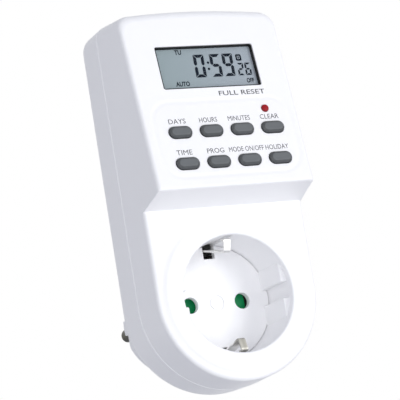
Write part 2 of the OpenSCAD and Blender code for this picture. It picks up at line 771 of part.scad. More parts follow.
// Middle of the lower left diode, and steps to the next ones
diode_z = 46;
diode_pitch_x = 3.6;
diode_pitch_z = 11.5;
diode_r = 1.3;
diode_l = 4.2;
module rectifier_diodes() color("dimgray") for (col = [-1, 0], row = [0, 1])
    on_power_board(col * diode_pitch_x, diode_z + row * diode_pitch_z)
        axial_part(diode_r, diode_l, diode_l - 0.2);

dropper_x = -9.6;
dropper_z = 51;
dropper_r = 2.2;
dropper_l = 9;
module dropper_resistor() color("tan") on_power_board(dropper_x, dropper_z)
    axial_part(dropper_r, dropper_l, dropper_l - 2);

varistor_x = 4.5;
varistor_z = 70;
varistor_r = 4;
varistor_t = 3.4;
module surge_varistor() color("royalblue") on_power_board(varistor_x, varistor_z) {
    translate([-varistor_t / 2, 0, varistor_r + 1.2]) rotate([0, 90, 0])
        cylinder(h = varistor_t, r = varistor_r);
    for (s = [-1, 1]) translate([0, s * 2.5, 0.02]) cylinder(h = 2.6, r = 0.35);
}

transistor_x = 15.5;
transistor_z = 68;
module driver_transistor() color("black") on_power_board(transistor_x, transistor_z) {
    translate([0, 0, 2.4]) intersection() {
        cylinder(h = 4.6, r = 2.4);
        translate([-3, -1.3, 0]) cube([6, 4, 5]);
    }
    for (s = [-1, 0, 1]) translate([s * 1.3, 0, 0.02]) cylinder(h = 2.5, r = 0.25);
}

// ---------- relay ----------

relay_w = 15.5;
relay_l = 19;
relay_h = 16.6;
relay_wall = 0.8;
pole_y = -0.4;
pole_z = 13.2;
hinge_y = 6.1;
pole_gap = (hinge_y - pole_y) * tan(armature_swing) + 0.25;
armature_z = pole_z + pole_gap;
contact_y = -7.4;
contact_rise = 0.7;
contact_z = armature_z - contact_rise - (hinge_y - contact_y) * tan(armature_swing) - 0.15;

module on_relay() on_power_board(relay_x, relay_z) children();

module relay_base() color("black") on_relay() {
    translate([-relay_w / 2, -relay_l / 2, 0.02]) cube([relay_w, relay_l, 1.98]);
}

module relay_coil() color("sienna") on_relay() translate([0, pole_y, 3.2]) difference() {
    union() {
        cylinder(h = 9.1, r = 4.6);
        cylinder(h = 0.8, r = 5.2);
        translate([0, 0, 8.3]) cylinder(h = 0.8, r = 5.2);
    }
    translate([0, 0, -1]) cylinder(h = 12, r = 2);
}

module relay_yoke() color("silver") on_relay() {
    translate([-4.5, -4.5, 2.02]) cube([9, 11.1, 1.08]);
    translate([-4.5, hinge_y - 0.5, 2.5]) cube([9, 1, armature_z - 2.6]);
    translate([0, pole_y, 3]) cylinder(h = pole_z - 3.5, r = 1.9);
    translate([0, pole_y, pole_z - 0.8]) cylinder(h = 0.8, r = 2.3);
}

module relay_armature() color("gainsboro") on_relay() {
    translate([-4.5, -6.6, armature_z]) cube([9, 13.4, 1]);
    translate([-1.5, contact_y - 1, armature_z + 0.2]) cube([3, 2, 0.4]);
    translate([0, contact_y, armature_z - contact_rise]) cylinder(h = contact_rise + 0.4, r = 0.8);
}

module relay_contact() color("peru") on_relay() {
    translate([0, contact_y, contact_z - 0.6]) cylinder(h = 0.6, r = 0.9);
    translate([-1.5, contact_y - 1, contact_z - 0.9]) cube([3, 2.2, 0.4]);
    translate([-1.5, contact_y - 1, 2.02]) cube([3, 0.5, contact_z - 2.6]);
}

module relay_cover() color("steelblue", 0.6) on_relay() translate([0, 0, 2.04]) difference() {
    translate([-relay_w / 2, -relay_l / 2, 0]) cube([relay_w, relay_l, relay_h - 2]);
    translate([relay_wall - relay_w / 2, relay_wall - relay_l / 2, -1])
        cube([relay_w - 2 * relay_wall, relay_l - 2 * relay_wall, relay_h - 1 - relay_wall]);
}

// ---------- shutter and contacts ----------

module shutter() color("seagreen") rotate([0, -shutter_turn, 0]) difference() {
    facing_front(shutter_y - shutter_t) cylinder(h = shutter_t, r = shutter_r);
    facing_front(shutter_y - shutter_t - 1) cylinder(h = shutter_t + 2, r = stud_r + stud_gap);
    for (s = [-1, 1]) {
        translate([s * pin_x, 0, 0]) facing_front(shutter_y - shutter_t - 1)
            cylinder(h = shutter_t + 2, r = hole_r + 0.3);
        translate([s > 0 ? pin_x : -shutter_r - 1, -shutter_y - 1, -hole_r - 0.1])
            cube([shutter_r + 1 - pin_x, shutter_t + 2, 2 * hole_r + 0.2]);
    }
}

// Torsion spring round the stud, behind the shutter: one turn of wire with two radial legs.
spring_wire = 0.2;
spring_r = stud_r + 1;
spring_leg = spring_r + 3.2;
spring_y = shutter_y - shutter_t - 0.3;
function spring_point(r, a) = [r * cos(a), -spring_y, r * sin(a)];
module shutter_spring() color("silver")
    wire(concat([spring_point(spring_leg, 100)],
        [for (a = [100 : 20 : 400]) spring_point(spring_r, a)],
        [spring_point(spring_leg, 400)]), spring_wire, 8, [0, 1, 0]);

module contact_block() color("beige") difference() {
    union() {
        facing_front(plate_y - plate_t) cylinder(h = plate_t, r = block_r);
        for (s = [-1, 1]) translate([s * pin_x - 4.6, -plate_y + plate_t - 0.1, -6])
            cube([9.2, plate_y - plate_t - tower_end_y + 0.1, 12]);
    }
    for (s = [-1, 1]) {
        translate([s * pin_x, 0, 0]) facing_front(0) cylinder(h = plate_y + 1, r = sleeve_r + 0.15);
        translate([-slot_w / 2 - 0.2, -plate_y - 1, s > 0 ? slot_z0 : -block_r - 1])
            cube([slot_w + 0.4, plate_t + 2, block_r + 1 - slot_z0]);
    }
    at_block_screws() facing_front(plate_y - plate_t - 1) cylinder(h = plate_t + 2,
        r = small_screw_r + 0.2);
}

block_r = 17.4;
sleeve_r = 3;
sleeve_t = 0.5;
tag_y = tower_end_y - 0.6;

module block_screws() color("silver") at_block_screws() translate([0, -plate_y + plate_t, 0])
    rotate([-90, 0, 0]) screw(small_screw_r, plate_t + 2.4, small_head_r, 1.2);

// Slit sleeve that grips a pin, with a solder tag on its outer side.
module contact_sleeve(side) {
    translate([side * pin_x, 0, 0]) difference() {
        facing_front(tag_y) cylinder(h = plate_y - 1 - tag_y, r = sleeve_r);
        facing_front(tag_y - 1) cylinder(h = plate_y, r = sleeve_r - sleeve_t);
        translate([-0.4, -plate_y, -sleeve_r - 1]) cube([0.8, plate_y - tag_y - 1, 5]);
    }
    translate([side > 0 ? pin_x + sleeve_r - sleeve_t : -pin_x - 6.2, -tag_y - 0.45, -1.5])
        cube([6.2 - sleeve_r + sleeve_t, 0.45, 3]);
}

module live_contact() color("gold") contact_sleeve(1);

module neutral_contact() color("gold") {
    contact_sleeve(-1);
    translate([-pin_x - 2.6, -tag_y - 0.3, -1.6]) cube([0.45, tag_y + 0.3 - shank_end, 3.2]);
    translate([-pin_x - 2.6, -shank_end - 0.45, -1.6]) cube([4, 0.45, 3.2]);
}

// Earth bracket: two strips from the plug's sides to the clips in the recess, and a link.
clip_peak_y = seat_y - clip_peak_drop;
clip_end_y = seat_y - clip_end_drop;
clip_top_z = recess_r - 0.9;
clip_path = [
    [2 - plug_len, strip_z], [back_y + 4.8, strip_z], [back_y + 8.8, clip_root_z],
    [floor_y - 0.6, clip_root_z], [clip_peak_y - 0.4, clip_peak_z],
    [clip_peak_y + 0.35, clip_peak_z + 0.2], [clip_end_y, clip_top_z - 1],
    [clip_end_y - 0.4, clip_top_z - 0.2], [clip_peak_y - 0.6, clip_top_z]
];
clip_shoulder_y = clip_peak_y - 4.5;
link_y = 3.7;

// One strip whose sprung nose is narrower than the rest.
module earth_strip() difference() {
    strip(clip_path, strip_t, strip_w);
    for (s = [-1, 1]) translate([s > 0 ? clip_w / 2 : -strip_w, -seat_y, clip_peak_z - 2])
        cube([strip_w - clip_w / 2, seat_y - clip_shoulder_y, recess_r]);
}

module earth_bracket() color("silver") {
    earth_strip();
    mirror([0, 0, 1]) earth_strip();
    translate([-strip_w / 2, -link_y - strip_t / 2, -strip_z])
        cube([strip_w, strip_t, 2 * strip_z]);
}

shank_end = 2;

module plug_pin(side) color("silver") translate([side * pin_x, 0, 0]) rotate([-90, 0, 0])
    rotate_extrude() difference() {
        union() {
            translate([0, -shank_end]) square([shank_r, shank_end + plug_len + 0.5]);
            translate([0, plug_len - 3.4]) square([shank_r + 1.2, 0.9]);
            translate([0, plug_len + 0.02]) square([pin_r, pin_len - pin_tip_r - 0.02]);
            translate([0, plug_len + pin_len - pin_tip_r - eps])
                square([pin_r - pin_tip_r, pin_tip_r + eps]);
            translate([pin_r - pin_tip_r, plug_len + pin_len - pin_tip_r]) circle(r = pin_tip_r);
        }
        translate([-5, -10]) square([5, 60]);
    }

module plug_pin_left() plug_pin(-1);
module plug_pin_right() plug_pin(1);

// ---------- leads ----------

lead_r = 0.9;
pad_y = -power_y + lead_r + 0.05;
pad_end = 42;
in_route = [[9.5, -3, -1.4], [9.5, -3, 2.5], [9.8, -3.6, 8], [10.4, -5.4, 14], [10.8, -7.8, 20],
    [11, -9.2, 26], [11, -10.4, 32], [11, pad_y, 38]];
out_route = [[15.1, -5.5, -1.4], [15.1, -5.5, 2.5], [15.2, -6, 8], [15.1, -7.2, 14],
    [14.6, -8.2, 20], [14, -9.2, 26], [13.6, -10.4, 32], [13.6, pad_y, 38]];

// Lead from a contact up to its pad on the rear face of the power board.
module lead(route) {
    last = route[len(route) - 1];
    wire(concat(smooth_route(route, 4), [[last[0], pad_y, pad_end]]), lead_r, 8, [1, 0, 0]);
}

module live_in_lead() color("saddlebrown") lead(in_route);
module live_out_lead() color("black") lead(out_route);
module neutral_lead() color("blue") lead([for (p = out_route) [-p[0], p[1], p[2]]]);

// ---------- case screws ----------

module case_screws() color("dimgray") at_case_screws() translate([0, -case_screw_y, 0])
    rotate([-90, 0, 0]) screw(screw_r, seam_y - case_screw_y + case_thread, screw_head_r, 2);

front_cover();
rear_cover();
display_bezel();
display_lens();
lcd_glass();
zebra_strips();
keypad_mat();
key_cap(0, 1);  // key_day
key_cap(1, 1);  // key_hour
key_cap(2, 1);  // key_minute
key_cap(3, 1);  // key_clear
key_cap(0, 0);  // key_time
key_cap(1, 0);  // key_program
key_cap(2, 0);  // key_mode
key_cap(3, 0);  // key_random
reset_button();
display_board();
board_screws();
controller_chip();
clock_crystal();
standby_cell();
cell_tabs();
ribbon_cable();
power_board();
power_board_screws();
relay_base();
relay_coil();
relay_yoke();
relay_armature();
relay_contact();
relay_cover();
film_capacitor();
smoothing_capacitor();
rectifier_diodes();
dropper_resistor();
surge_varistor();
driver_transistor();
shutter();
shutter_spring();
contact_block();
block_screws();
live_contact();
neutral_contact();
earth_bracket();
plug_pin_left();
plug_pin_right();
live_in_lead();
live_out_lead();
neutral_lead();
case_screws();
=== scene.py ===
"""Plug-in timer switch: its moulded covers, keys, display, contacts and every finish, over the frame.

Shapes are built in millimetres and published in metres. A depth counts from the wall plane towards
the front, and the panel's own coordinates are x across, v up the panel and n out of it.
"""

import json
import logging
import math
from dataclasses import dataclass, field
from enum import Enum
from functools import reduce
from typing import Callable, Iterable, Sequence

import bmesh
import bpy
from mathutils import Euler, Matrix, Vector


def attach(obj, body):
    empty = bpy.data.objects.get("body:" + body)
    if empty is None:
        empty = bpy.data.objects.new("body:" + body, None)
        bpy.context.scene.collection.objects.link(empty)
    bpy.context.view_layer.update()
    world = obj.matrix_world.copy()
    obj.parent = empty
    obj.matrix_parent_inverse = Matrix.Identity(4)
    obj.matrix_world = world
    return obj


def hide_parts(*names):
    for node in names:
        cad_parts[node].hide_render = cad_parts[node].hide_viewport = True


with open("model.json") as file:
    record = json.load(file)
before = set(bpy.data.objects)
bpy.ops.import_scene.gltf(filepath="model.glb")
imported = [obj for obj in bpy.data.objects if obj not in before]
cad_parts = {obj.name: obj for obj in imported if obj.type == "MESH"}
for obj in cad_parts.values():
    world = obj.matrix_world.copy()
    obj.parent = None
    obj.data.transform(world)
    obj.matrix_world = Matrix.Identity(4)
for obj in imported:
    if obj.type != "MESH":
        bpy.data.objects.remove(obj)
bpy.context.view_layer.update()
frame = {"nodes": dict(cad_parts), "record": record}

Colour = tuple[float, float, float]
Place = tuple[float, float]
Triple = tuple[float, float, float]
Point = Sequence[float]
Node, Socket = bpy.types.Node, bpy.types.NodeSocket

LOG = logging.getLogger("timer_switch")
MM = 0.001
SIDES = (-1, 1)
RECORD = frame["record"]
BODY_OF = {node: body for body, nodes in RECORD["behaviour"]["bodies"].items() for node in nodes}
SLOT_OF = {part["node"]: part["material_slot"] for part in RECORD["subparts"]}


# ---------------- sizes of the case


@dataclass(frozen=True)
class CaseSizes:
    """Driving sizes of the case and the places that its parts share, in millimetres and degrees."""

    half_w: float = 29.4
    top: float = 97.4
    rise: float = 1.1
    corner_r: float = 5.0
    wall: float = 2.0
    seam: float = 24.0
    seam_chamfer: float = 0.3
    seam_gap: float = 0.12
    draft: float = 0.7
    lower: float = 38.9
    edge_r: float = 1.4
    step_z: float = 29.2
    foot_depth: float = 51.9
    foot_z: float = 32.4
    foot_v: float = 0.8
    tilt: float = 9.6
    roof_slope: float = 0.0966
    brow_r: float = 3.8
    seat: float = 39.6
    floor: float = 21.6
    floor_back: float = 19.4
    pin_x: float = 9.5
    strip_z: float = 16.8
    screw_x: float = 19.5
    screw_zs: Place = (31.0, 89.5)
    block_screw: Place = (8.2, 12.6)
    display_post_x: float = 23.0
    display_post_vs: Place = (3.9, 30.0)
    power_post_x: float = 20.5
    power_post_zs: Place = (40.5, 80.5)
    pilot_r: float = 0.92

    @property
    def ledge_slope(self) -> float:
        """Rise of the ledge under the panel per millimetre of depth.

        Returns:
            The slope.
        """
        lean = math.radians(self.tilt)
        rise = self.foot_z + self.foot_v * math.cos(lean) - self.step_z
        return rise / (self.foot_depth - self.foot_v * math.sin(lean) - self.lower)

    @property
    def ledge_climb(self) -> float:
        """Climb of the ledge up the panel's plane per millimetre of height over the ledge."""
        return math.tan(math.radians(self.tilt) - math.atan(self.ledge_slope))

    @property
    def taper(self) -> float:
        """Share of the width lost per millimetre in front of the seam."""
        return self.draft / (self.lower - self.seam) / self.half_w


CASE = CaseSizes()
LEAN = math.radians(CASE.tilt)
PANEL = Matrix((
    (1, 0, 0, 0),
    (0, math.sin(LEAN), -math.cos(LEAN), -CASE.foot_depth),
    (0, math.cos(LEAN), math.sin(LEAN), CASE.foot_z),
    (0, 0, 0, 1),
))
FRONT = Matrix(((1, 0, 0, 0), (0, 0, -1, 0), (0, 1, 0, 0), (0, 0, 0, 1)))
BACK = Matrix(((1, 0, 0, 0), (0, 0, 1, 0), (0, -1, 0, 0), (0, 0, 0, 1)))


def facing(x: float, z: float = 0.0) -> Matrix:
    """Placement that turns local Z to the front, at a place on the wall plane."""
    return Matrix.Translation((x, 0, z)) @ FRONT


def on_panel(x: float, v: float, n: float = 0.0) -> Matrix:
    """Placement in the panel's own coordinates."""
    return PANEL @ Matrix.Translation((x, v, n))


def leaning(slant: float) -> Matrix:
    """Sideways lean of a flat shape, per millimetre of its height."""
    return Matrix(((1, slant, 0, 0), (0, 1, 0, 0), (0, 0, 1, 0), (0, 0, 0, 1)))


# ---------------- outlines


def arc(centre: Point, radius: float, start: float, stop: float, steps: int) -> list[Vector]:
    """Points of a round arc.

    Args:
        centre: Middle of the arc.
        radius: Its radius.
        start: First angle in degrees.
        stop: Last angle in degrees.
        steps: Number of chords.

    Returns:
        The points, from the first angle to the last.
    """
    angles = [math.radians(start + (stop - start) * i / steps) for i in range(steps + 1)]
    return [Vector((centre[0] + radius * math.cos(a), centre[1] + radius * math.sin(a))) for a in angles]


def rounded(width: float, height: float, radius: float, steps: int = 6) -> list[Vector]:
    """Rectangle with round corners about the origin, anticlockwise.

    Args:
        width: Size along x.
        height: Size along y.
        radius: Corner radius; half the height gives round ends.
        steps: Chords in each corner.

    Returns:
        The outline's points.
    """
    radius = min(radius, width / 2, height / 2)
    x, y = width / 2 - radius, height / 2 - radius
    corners = ((x, y, 0), (-x, y, 90), (-x, -y, 180), (x, -y, 270))
    points = [p for cx, cy, a in corners for p in arc((cx, cy), radius, a, a + 90, steps)]
    return [p for i, p in enumerate(points) if (p - points[i - 1]).length > 1e-5]


def rounded_ends(length: float, width: float) -> list[Vector]:
    """Outline with round ends that always has the same number of points.

    Args:
        length: Overall length.
        width: Overall width; where it equals the length the outline is a circle.

    Returns:
        The outline's points.
    """
    x, r = (length - width) / 2, width / 2
    if x > 1e-6:
        return arc((x, 0), r, -90, 90, 18) + arc((-x, 0), r, 90, 270, 18)
    halves = ((1e-3, -90), (-1e-3, 90))
    return [p + Vector((shift, 0)) for shift, a in halves for p in arc((0, 0), r, a, a + 180, 18)]


def mirrored(points: Sequence[Vector]) -> list[Vector]:
    """Points mirrored to the other side, in reverse order."""
    return [Vector((-p.x, p.y)) for p in reversed(points)]


def level(outline: Iterable[Vector], height: float) -> list[Vector]:
    """Flat outline raised to a height."""
    return [Vector((p.x, p.y, height)) for p in outline]


def crown(half: float, top: float) -> list[Vector]:
    """Arched upper end of the case outline, from its right side to its left.

    Args:
        half: Half the width.
        top: Height of the middle of the arch.

    Returns:
        The points, with the corners flowing into the arch.
    """
    flat = half - CASE.corner_r
    lean = math.atan(2 * CASE.rise / flat)
    reach = flat + CASE.corner_r * math.sin(lean)
    centre = (flat, top - CASE.rise * (reach / flat) ** 2 - CASE.corner_r * math.cos(lean))
    right = arc(centre, CASE.corner_r, 0, 90 - math.degrees(lean), 8)
    xs = [reach * share for share in (0.7, 0.35, 0, -0.35, -0.7)]
    return right + [Vector((x, top - CASE.rise * (x / flat) ** 2)) for x in xs] + mirrored(right)


def fillet(radius: float, steps: int = 6) -> list[Place]:
    """Inset and climb of each step round a convex edge, from the side to the face."""
    angles = [math.pi / 2 * i / steps for i in range(steps + 1)]
    return [(radius * (1 - math.cos(a)), radius * math.sin(a)) for a in angles]


def inset_at(radius: float, depth: float) -> float:
    """Inset of a round edge at a depth below its face."""
    return 0.0 if depth >= radius else radius - math.sqrt(radius**2 - (radius - depth) ** 2)


# ---------------- building solids


class Join(Enum):
    """How one solid is joined to another."""

    ADD = "UNION"
    CUT = "DIFFERENCE"


class Solid:
    """Mesh under construction, in millimetres."""

    def __init__(self) -> None:
        """Starts an empty mesh."""
        self.bm = bmesh.new()
        self.order = self.bm.verts.layers.int.new("order")

    def loop(self, points: Iterable[Vector]) -> list[bmesh.types.BMVert]:
        """Starts a closed loop of edges.

        Args:
            points: What it goes through.

        Returns:
            Its vertices.
        """
        verts = [self.bm.verts.new(p) for p in points]
        for i, vert in enumerate(verts):
            self.bm.edges.new((verts[i - 1], vert))
        return verts

    def grown(self, loop: list[bmesh.types.BMVert], points: Sequence[Vector]) -> list[bmesh.types.BMVert]:
        """Extrudes a closed loop of edges and moves the new one.

        Args:
            loop: The loop's vertices in order.
            points: Where the new vertices go.

        Returns:
            The new loop's vertices in the same order.
        """
        for i, vert in enumerate(loop):
            vert[self.order] = i
        pairs = [(loop[i - 1], vert) for i, vert in enumerate(loop)]
        edges = [self.bm.edges.get(pair) or self.bm.edges.new(pair) for pair in pairs]
        made = bmesh.ops.extrude_edge_only(self.bm, edges=edges)["geom"]
        fresh = sorted((g for g in made if isinstance(g, bmesh.types.BMVert)), key=lambda v: v[self.order])
        for vert, point in zip(fresh, points, strict=True):
            vert.co = point
        return fresh

    def closed(self) -> "Solid":
        """Merges coincident points and turns the faces outwards.

        Returns:
            This solid.
        """
        bmesh.ops.remove_doubles(self.bm, verts=self.bm.verts, dist=1e-4)
        bmesh.ops.recalc_face_normals(self.bm, faces=self.bm.faces)
        return self

    @classmethod
    def lofted(cls, rings: Sequence[Sequence[Vector]], ring_shut: bool = False) -> "Solid":
        """Skin through rings of equal length.

        Args:
            rings: The rings in order.
            ring_shut: Whether the last ring meets the first, as in a torus; otherwise both ends are capped.

        Returns:
            The closed solid.
        """
        solid = cls()
        loop = first = solid.loop(rings[0])
        for ring in [*rings[1:], *([rings[0]] if ring_shut else [])]:
            loop = solid.grown(loop, ring)
        if not ring_shut:
            solid.bm.faces.new(first)
            solid.bm.faces.new(loop)
        return solid.closed()

    @classmethod
    def turned(cls, profile: Sequence[Point], steps: int = 64, ring: bool = False) -> "Solid":
        """Solid of revolution about local Z.

        Args:
            profile: Radius and height of each point of the section.
            steps: Segments of the full turn.
            ring: Whether the section is a closed loop away from the axis.

        Returns:
            The closed solid.
        """
        solid = cls()
        verts = [solid.bm.verts.new((r, 0, h)) for r, h in profile]
        pairs = list(zip(verts, verts[1:])) + ([(verts[-1], verts[0])] if ring else [])
        edges = [solid.bm.edges.new(pair) for pair in pairs]
        bmesh.ops.spin(solid.bm, geom=verts + edges, cent=(0, 0, 0), axis=(0, 0, 1), angle=math.tau,
                       steps=steps, use_merge=True)
        return solid.closed()

    @classmethod
    def rod(cls, radius: float, low: float, high: float, steps: int = 32) -> "Solid":
        """Plain round rod about local Z between two heights."""
        return cls.turned([(0, low), (radius, low), (radius, high), (0, high)], steps)

    @classmethod
    def prism(cls, outline: Callable[[float], list[Vector]], low: float, high: float,
              edge: float = 0.0) -> "Solid":
        """Straight solid along local Z whose upper edge may be round.

        Args:
            outline: Gives the outline grown by a distance.
            low: Lower end.
            high: Upper end.
            edge: Radius of the upper edge; a negative one flares out to cut a round mouth.

        Returns:
            The closed solid.
        """
        steps = [(0.0, low)]
        if edge:
            sign = math.copysign(1, edge)
            steps += [(-sign * inset, high - abs(edge) + climb) for inset, climb in fillet(abs(edge), 4)]
        else:
            steps += [(0.0, high)]
        if edge < 0:
            steps += [(-edge, high + 1)]
        return cls.lofted([level(outline(grow), h) for grow, h in steps])

    @classmethod
    def block(cls, corner: Point, opposite: Point, edge: float = 0.0) -> "Solid":
        """Box between two opposite corners.

        Args:
            corner: One corner.
            opposite: The corner farthest from it.
            edge: Radius that rounds its edges.

        Returns:
            The box.
        """
        solid = cls()
        low, high = (Vector([pick(pair) for pair in zip(corner, opposite)]) for pick in (min, max))
        place = Matrix.Translation((high + low) / 2) @ Matrix.Diagonal((*(high - low), 1))
        bmesh.ops.create_cube(solid.bm, size=1, matrix=place)
        return solid.softened(edge) if edge else solid

    def softened(self, radius: float) -> "Solid":
        """Rounds every edge whose faces meet at more than 40 degrees.

        Args:
            radius: Radius of the rounding.

        Returns:
            This solid.
        """
        limit = math.radians(40)
        edges = [e for e in self.bm.edges if len(e.link_faces) == 2 and e.calc_face_angle() > limit]
        bmesh.ops.bevel(self.bm, geom=edges, offset=radius, segments=3, profile=0.5, affect="EDGES",
                        material=-1, clamp_overlap=True)
        return self

    def moved(self, matrix: Matrix) -> "Solid":
        """Places the solid, its faces turned back where the matrix mirrors.

        Args:
            matrix: The placement.

        Returns:
            This solid.
        """
        bmesh.ops.transform(self.bm, matrix=matrix, verts=self.bm.verts)
        if matrix.determinant() < 0:
            bmesh.ops.reverse_faces(self.bm, faces=self.bm.faces)
        return self

    def absorb(self, other: "Solid") -> "Solid":
        """Takes another solid's mesh in without joining the two.

        Args:
            other: The solid that is taken in.

        Returns:
            This solid.
        """
        mesh = bpy.data.meshes.new("part")
        other.bm.to_mesh(mesh)
        self.bm.from_mesh(mesh)
        bpy.data.meshes.remove(mesh)
        return self

    def twin(self, matrix: Matrix) -> "Solid":
        """Copy of the solid, placed by a matrix."""
        return Solid().absorb(self).moved(matrix)

    def joined(self, how: Join, *others: "Solid") -> "Solid":
        """Joins other solids to this one, one after another.

        Args:
            how: Whether they are added or cut away.
            others: The other solids.

        Returns:
            This solid.
        """
        for other in others:
            target, tool = self._object("target"), other._object("tool")
            modifier = target.modifiers.new("join", "BOOLEAN")
            modifier.operation = how.value
            modifier.solver = "MANIFOLD"
            modifier.object = tool
            before = len(self.bm.verts), self.bm.calc_volume()
            self.bm.clear()
            self.bm.from_object(target, bpy.context.evaluated_depsgraph_get())
            if not self.bm.verts or (len(self.bm.verts), self.bm.calc_volume()) == before:
                LOG.warning("a join changed nothing: %s", how.name)
            for temporary in (target, tool):
                mesh = temporary.data
                bpy.data.objects.remove(temporary)
                bpy.data.meshes.remove(mesh)
        return self

    def _object(self, name: str) -> bpy.types.Object:
        """Temporary object that holds the mesh for a modifier.

        Args:
            name: The object's name.

        Returns:
            The object.
        """
        mesh = bpy.data.meshes.new(name)
        self.bm.to_mesh(mesh)
        return linked(name, mesh)

    def piece(self, name: str, finish: "Finish", body: str = "case", stands_for: Sequence[str] = (),
              slot: str | None = None, sharp: float = 32.0) -> bpy.types.Object:
        """Publishes the solid as a finished piece.

        Args:
            name: The piece's name.
            finish: Its finish.
            body: The CAD body that it rides on.
            stands_for: CAD nodes that it replaces.
            slot: The record's material slot; not used.
            sharp: Edges above this angle in degrees stay sharp.

        Returns:
            The object, in metres.
        """
        bmesh.ops.dissolve_degenerate(self.bm, dist=1e-5, edges=self.bm.edges)
        for face in self.bm.faces:
            face.smooth = True
        for edge in self.bm.edges:
            edge.smooth = len(edge.link_faces) == 2 and edge.calc_face_angle() < math.radians(sharp)
        bmesh.ops.scale(self.bm, vec=(MM,) * 3, verts=self.bm.verts)
        made = self._object(name)
        self.bm.free()
        made.data.materials.append(finish.material())
        weighted = made.modifiers.new("weighted", "WEIGHTED_NORMAL")
        weighted.keep_sharp = True
        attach(made, body)
        if stands_for:
            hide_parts(*stands_for)
        LOG.info("%s: %d faces, rides on %s", name, len(made.data.polygons), body)
        return made


def linked(name: str, data: bpy.types.ID) -> bpy.types.Object:
    """Object that shows a mesh, a curve, a lamp or a camera in the scene.

    Args:
        name: The object's name.
        data: What it shows.

    Returns:
        The object.
    """
    made = bpy.data.objects.new(name, data)
    bpy.context.scene.collection.objects.link(made)
    return made


# ---------------- shader groups


class Graph:
    """Node tree under construction."""

    def __init__(self, tree: bpy.types.NodeTree) -> None:
        """Works on a material's tree or a group."""
        self.tree = tree

    def node(self, kind: str, feeds: dict | None = None, **settings: object) -> Node:
        """Adds a node.

        Args:
            kind: The node's type, without the ShaderNode prefix where it has one.
            feeds: Socket names or numbers, with the socket or value that each gets.
            settings: The node's own settings.

        Returns:
            The node.
        """
        made = self.tree.nodes.new(kind if kind.startswith("NodeGroup") else f"ShaderNode{kind}")
        for name, value in settings.items():
            setattr(made, name, value)
        self.feed(made, feeds or {})
        return made

    def feed(self, node: Node, feeds: dict) -> None:
        """Feeds inputs of a node.

        Args:
            node: The node.
            feeds: Socket names or numbers, with the socket that is linked or the value that is set.
        """
        for socket, value in feeds.items():
            if isinstance(value, Socket):
                self.tree.links.new(value, node.inputs[socket])
            else:
                node.inputs[socket].default_value = value

    def calc(self, operation: str, *values: object) -> Socket:
        """Adds a Math node and returns its result."""
        return self.node("Math", dict(enumerate(values)), operation=operation).outputs[0]

    def total(self, *values: object) -> Socket:
        """Adds values up and returns their sum."""
        return reduce(lambda first, second: self.calc("ADD", first, second), values)

    def noise(self, place: Socket, scale: object, detail: float, rough: float = 0.5) -> Socket:
        """Adds a noise texture and returns its value."""
        return self.node("TexNoise", {"Vector": place, "Scale": scale, "Detail": detail,
                                      "Roughness": rough}).outputs[0]

    def ripple(self, place: Socket, scale: float, axis: str, distortion: float,
               detail: float = 2.0) -> Socket:
        """Adds a band texture across an axis and returns its value."""
        return self.node("TexWave", {"Vector": place, "Scale": scale, "Distortion": distortion,
                                     "Detail": detail}, bands_direction=axis).outputs["Fac"]

    def stretched(self, place: Socket, scale: Point) -> Socket:
        """Scales coordinates along each axis and returns them."""
        return self.node("Mapping", {"Vector": place, "Scale": scale}).outputs["Vector"]

    def along(self, place: Socket, direction: Point) -> Socket:
        """Measures how far a place lies along a direction."""
        return self.node("VectorMath", {0: place, 1: direction}, operation="DOT_PRODUCT").outputs["Value"]

    def scaled(self, colour: object, factor: Socket) -> Socket:
        """Brightens or darkens a colour by a factor."""
        return self.node("VectorMath", {0: colour, 3: factor}, operation="SCALE").outputs[0]

    def spread(self, value: Socket, low: float, high: float, to_low: float, to_high: float,
               smooth: bool = False) -> Socket:
        """Maps a range to another one.

        Args:
            value: What is mapped.
            low: Lower end of its range.
            high: Upper end of its range.
            to_low: Result at the lower end.
            to_high: Result at the upper end.
            smooth: Whether both ends are eased.

        Returns:
            The result.
        """
        feeds = {"Value": value, "From Min": low, "From Max": high, "To Min": to_low, "To Max": to_high}
        kind = "SMOOTHSTEP" if smooth else "LINEAR"
        return self.node("MapRange", feeds, interpolation_type=kind).outputs["Result"]

    def swing(self, noise: Socket, amount: Socket, half: float = 0.5) -> Socket:
        """Centres a noise on zero, spreads it to both sides by half a range and takes an amount of it."""
        return self.calc("MULTIPLY", self.spread(noise, 0.3, 0.7, -half, half), amount)

    def mixed(self, factor: Socket, first: object, second: object) -> Socket:
        """Mixes two colours."""
        return self.node("Mix", {0: factor, 6: first, 7: second}, data_type="RGBA").outputs[2]

    def bump(self, height: Socket, depth: float) -> Socket:
        """Gives the normal of a height whose full range is a depth in metres."""
        return self.node("Bump", {"Height": height, "Distance": depth, "Strength": 1.0}).outputs["Normal"]


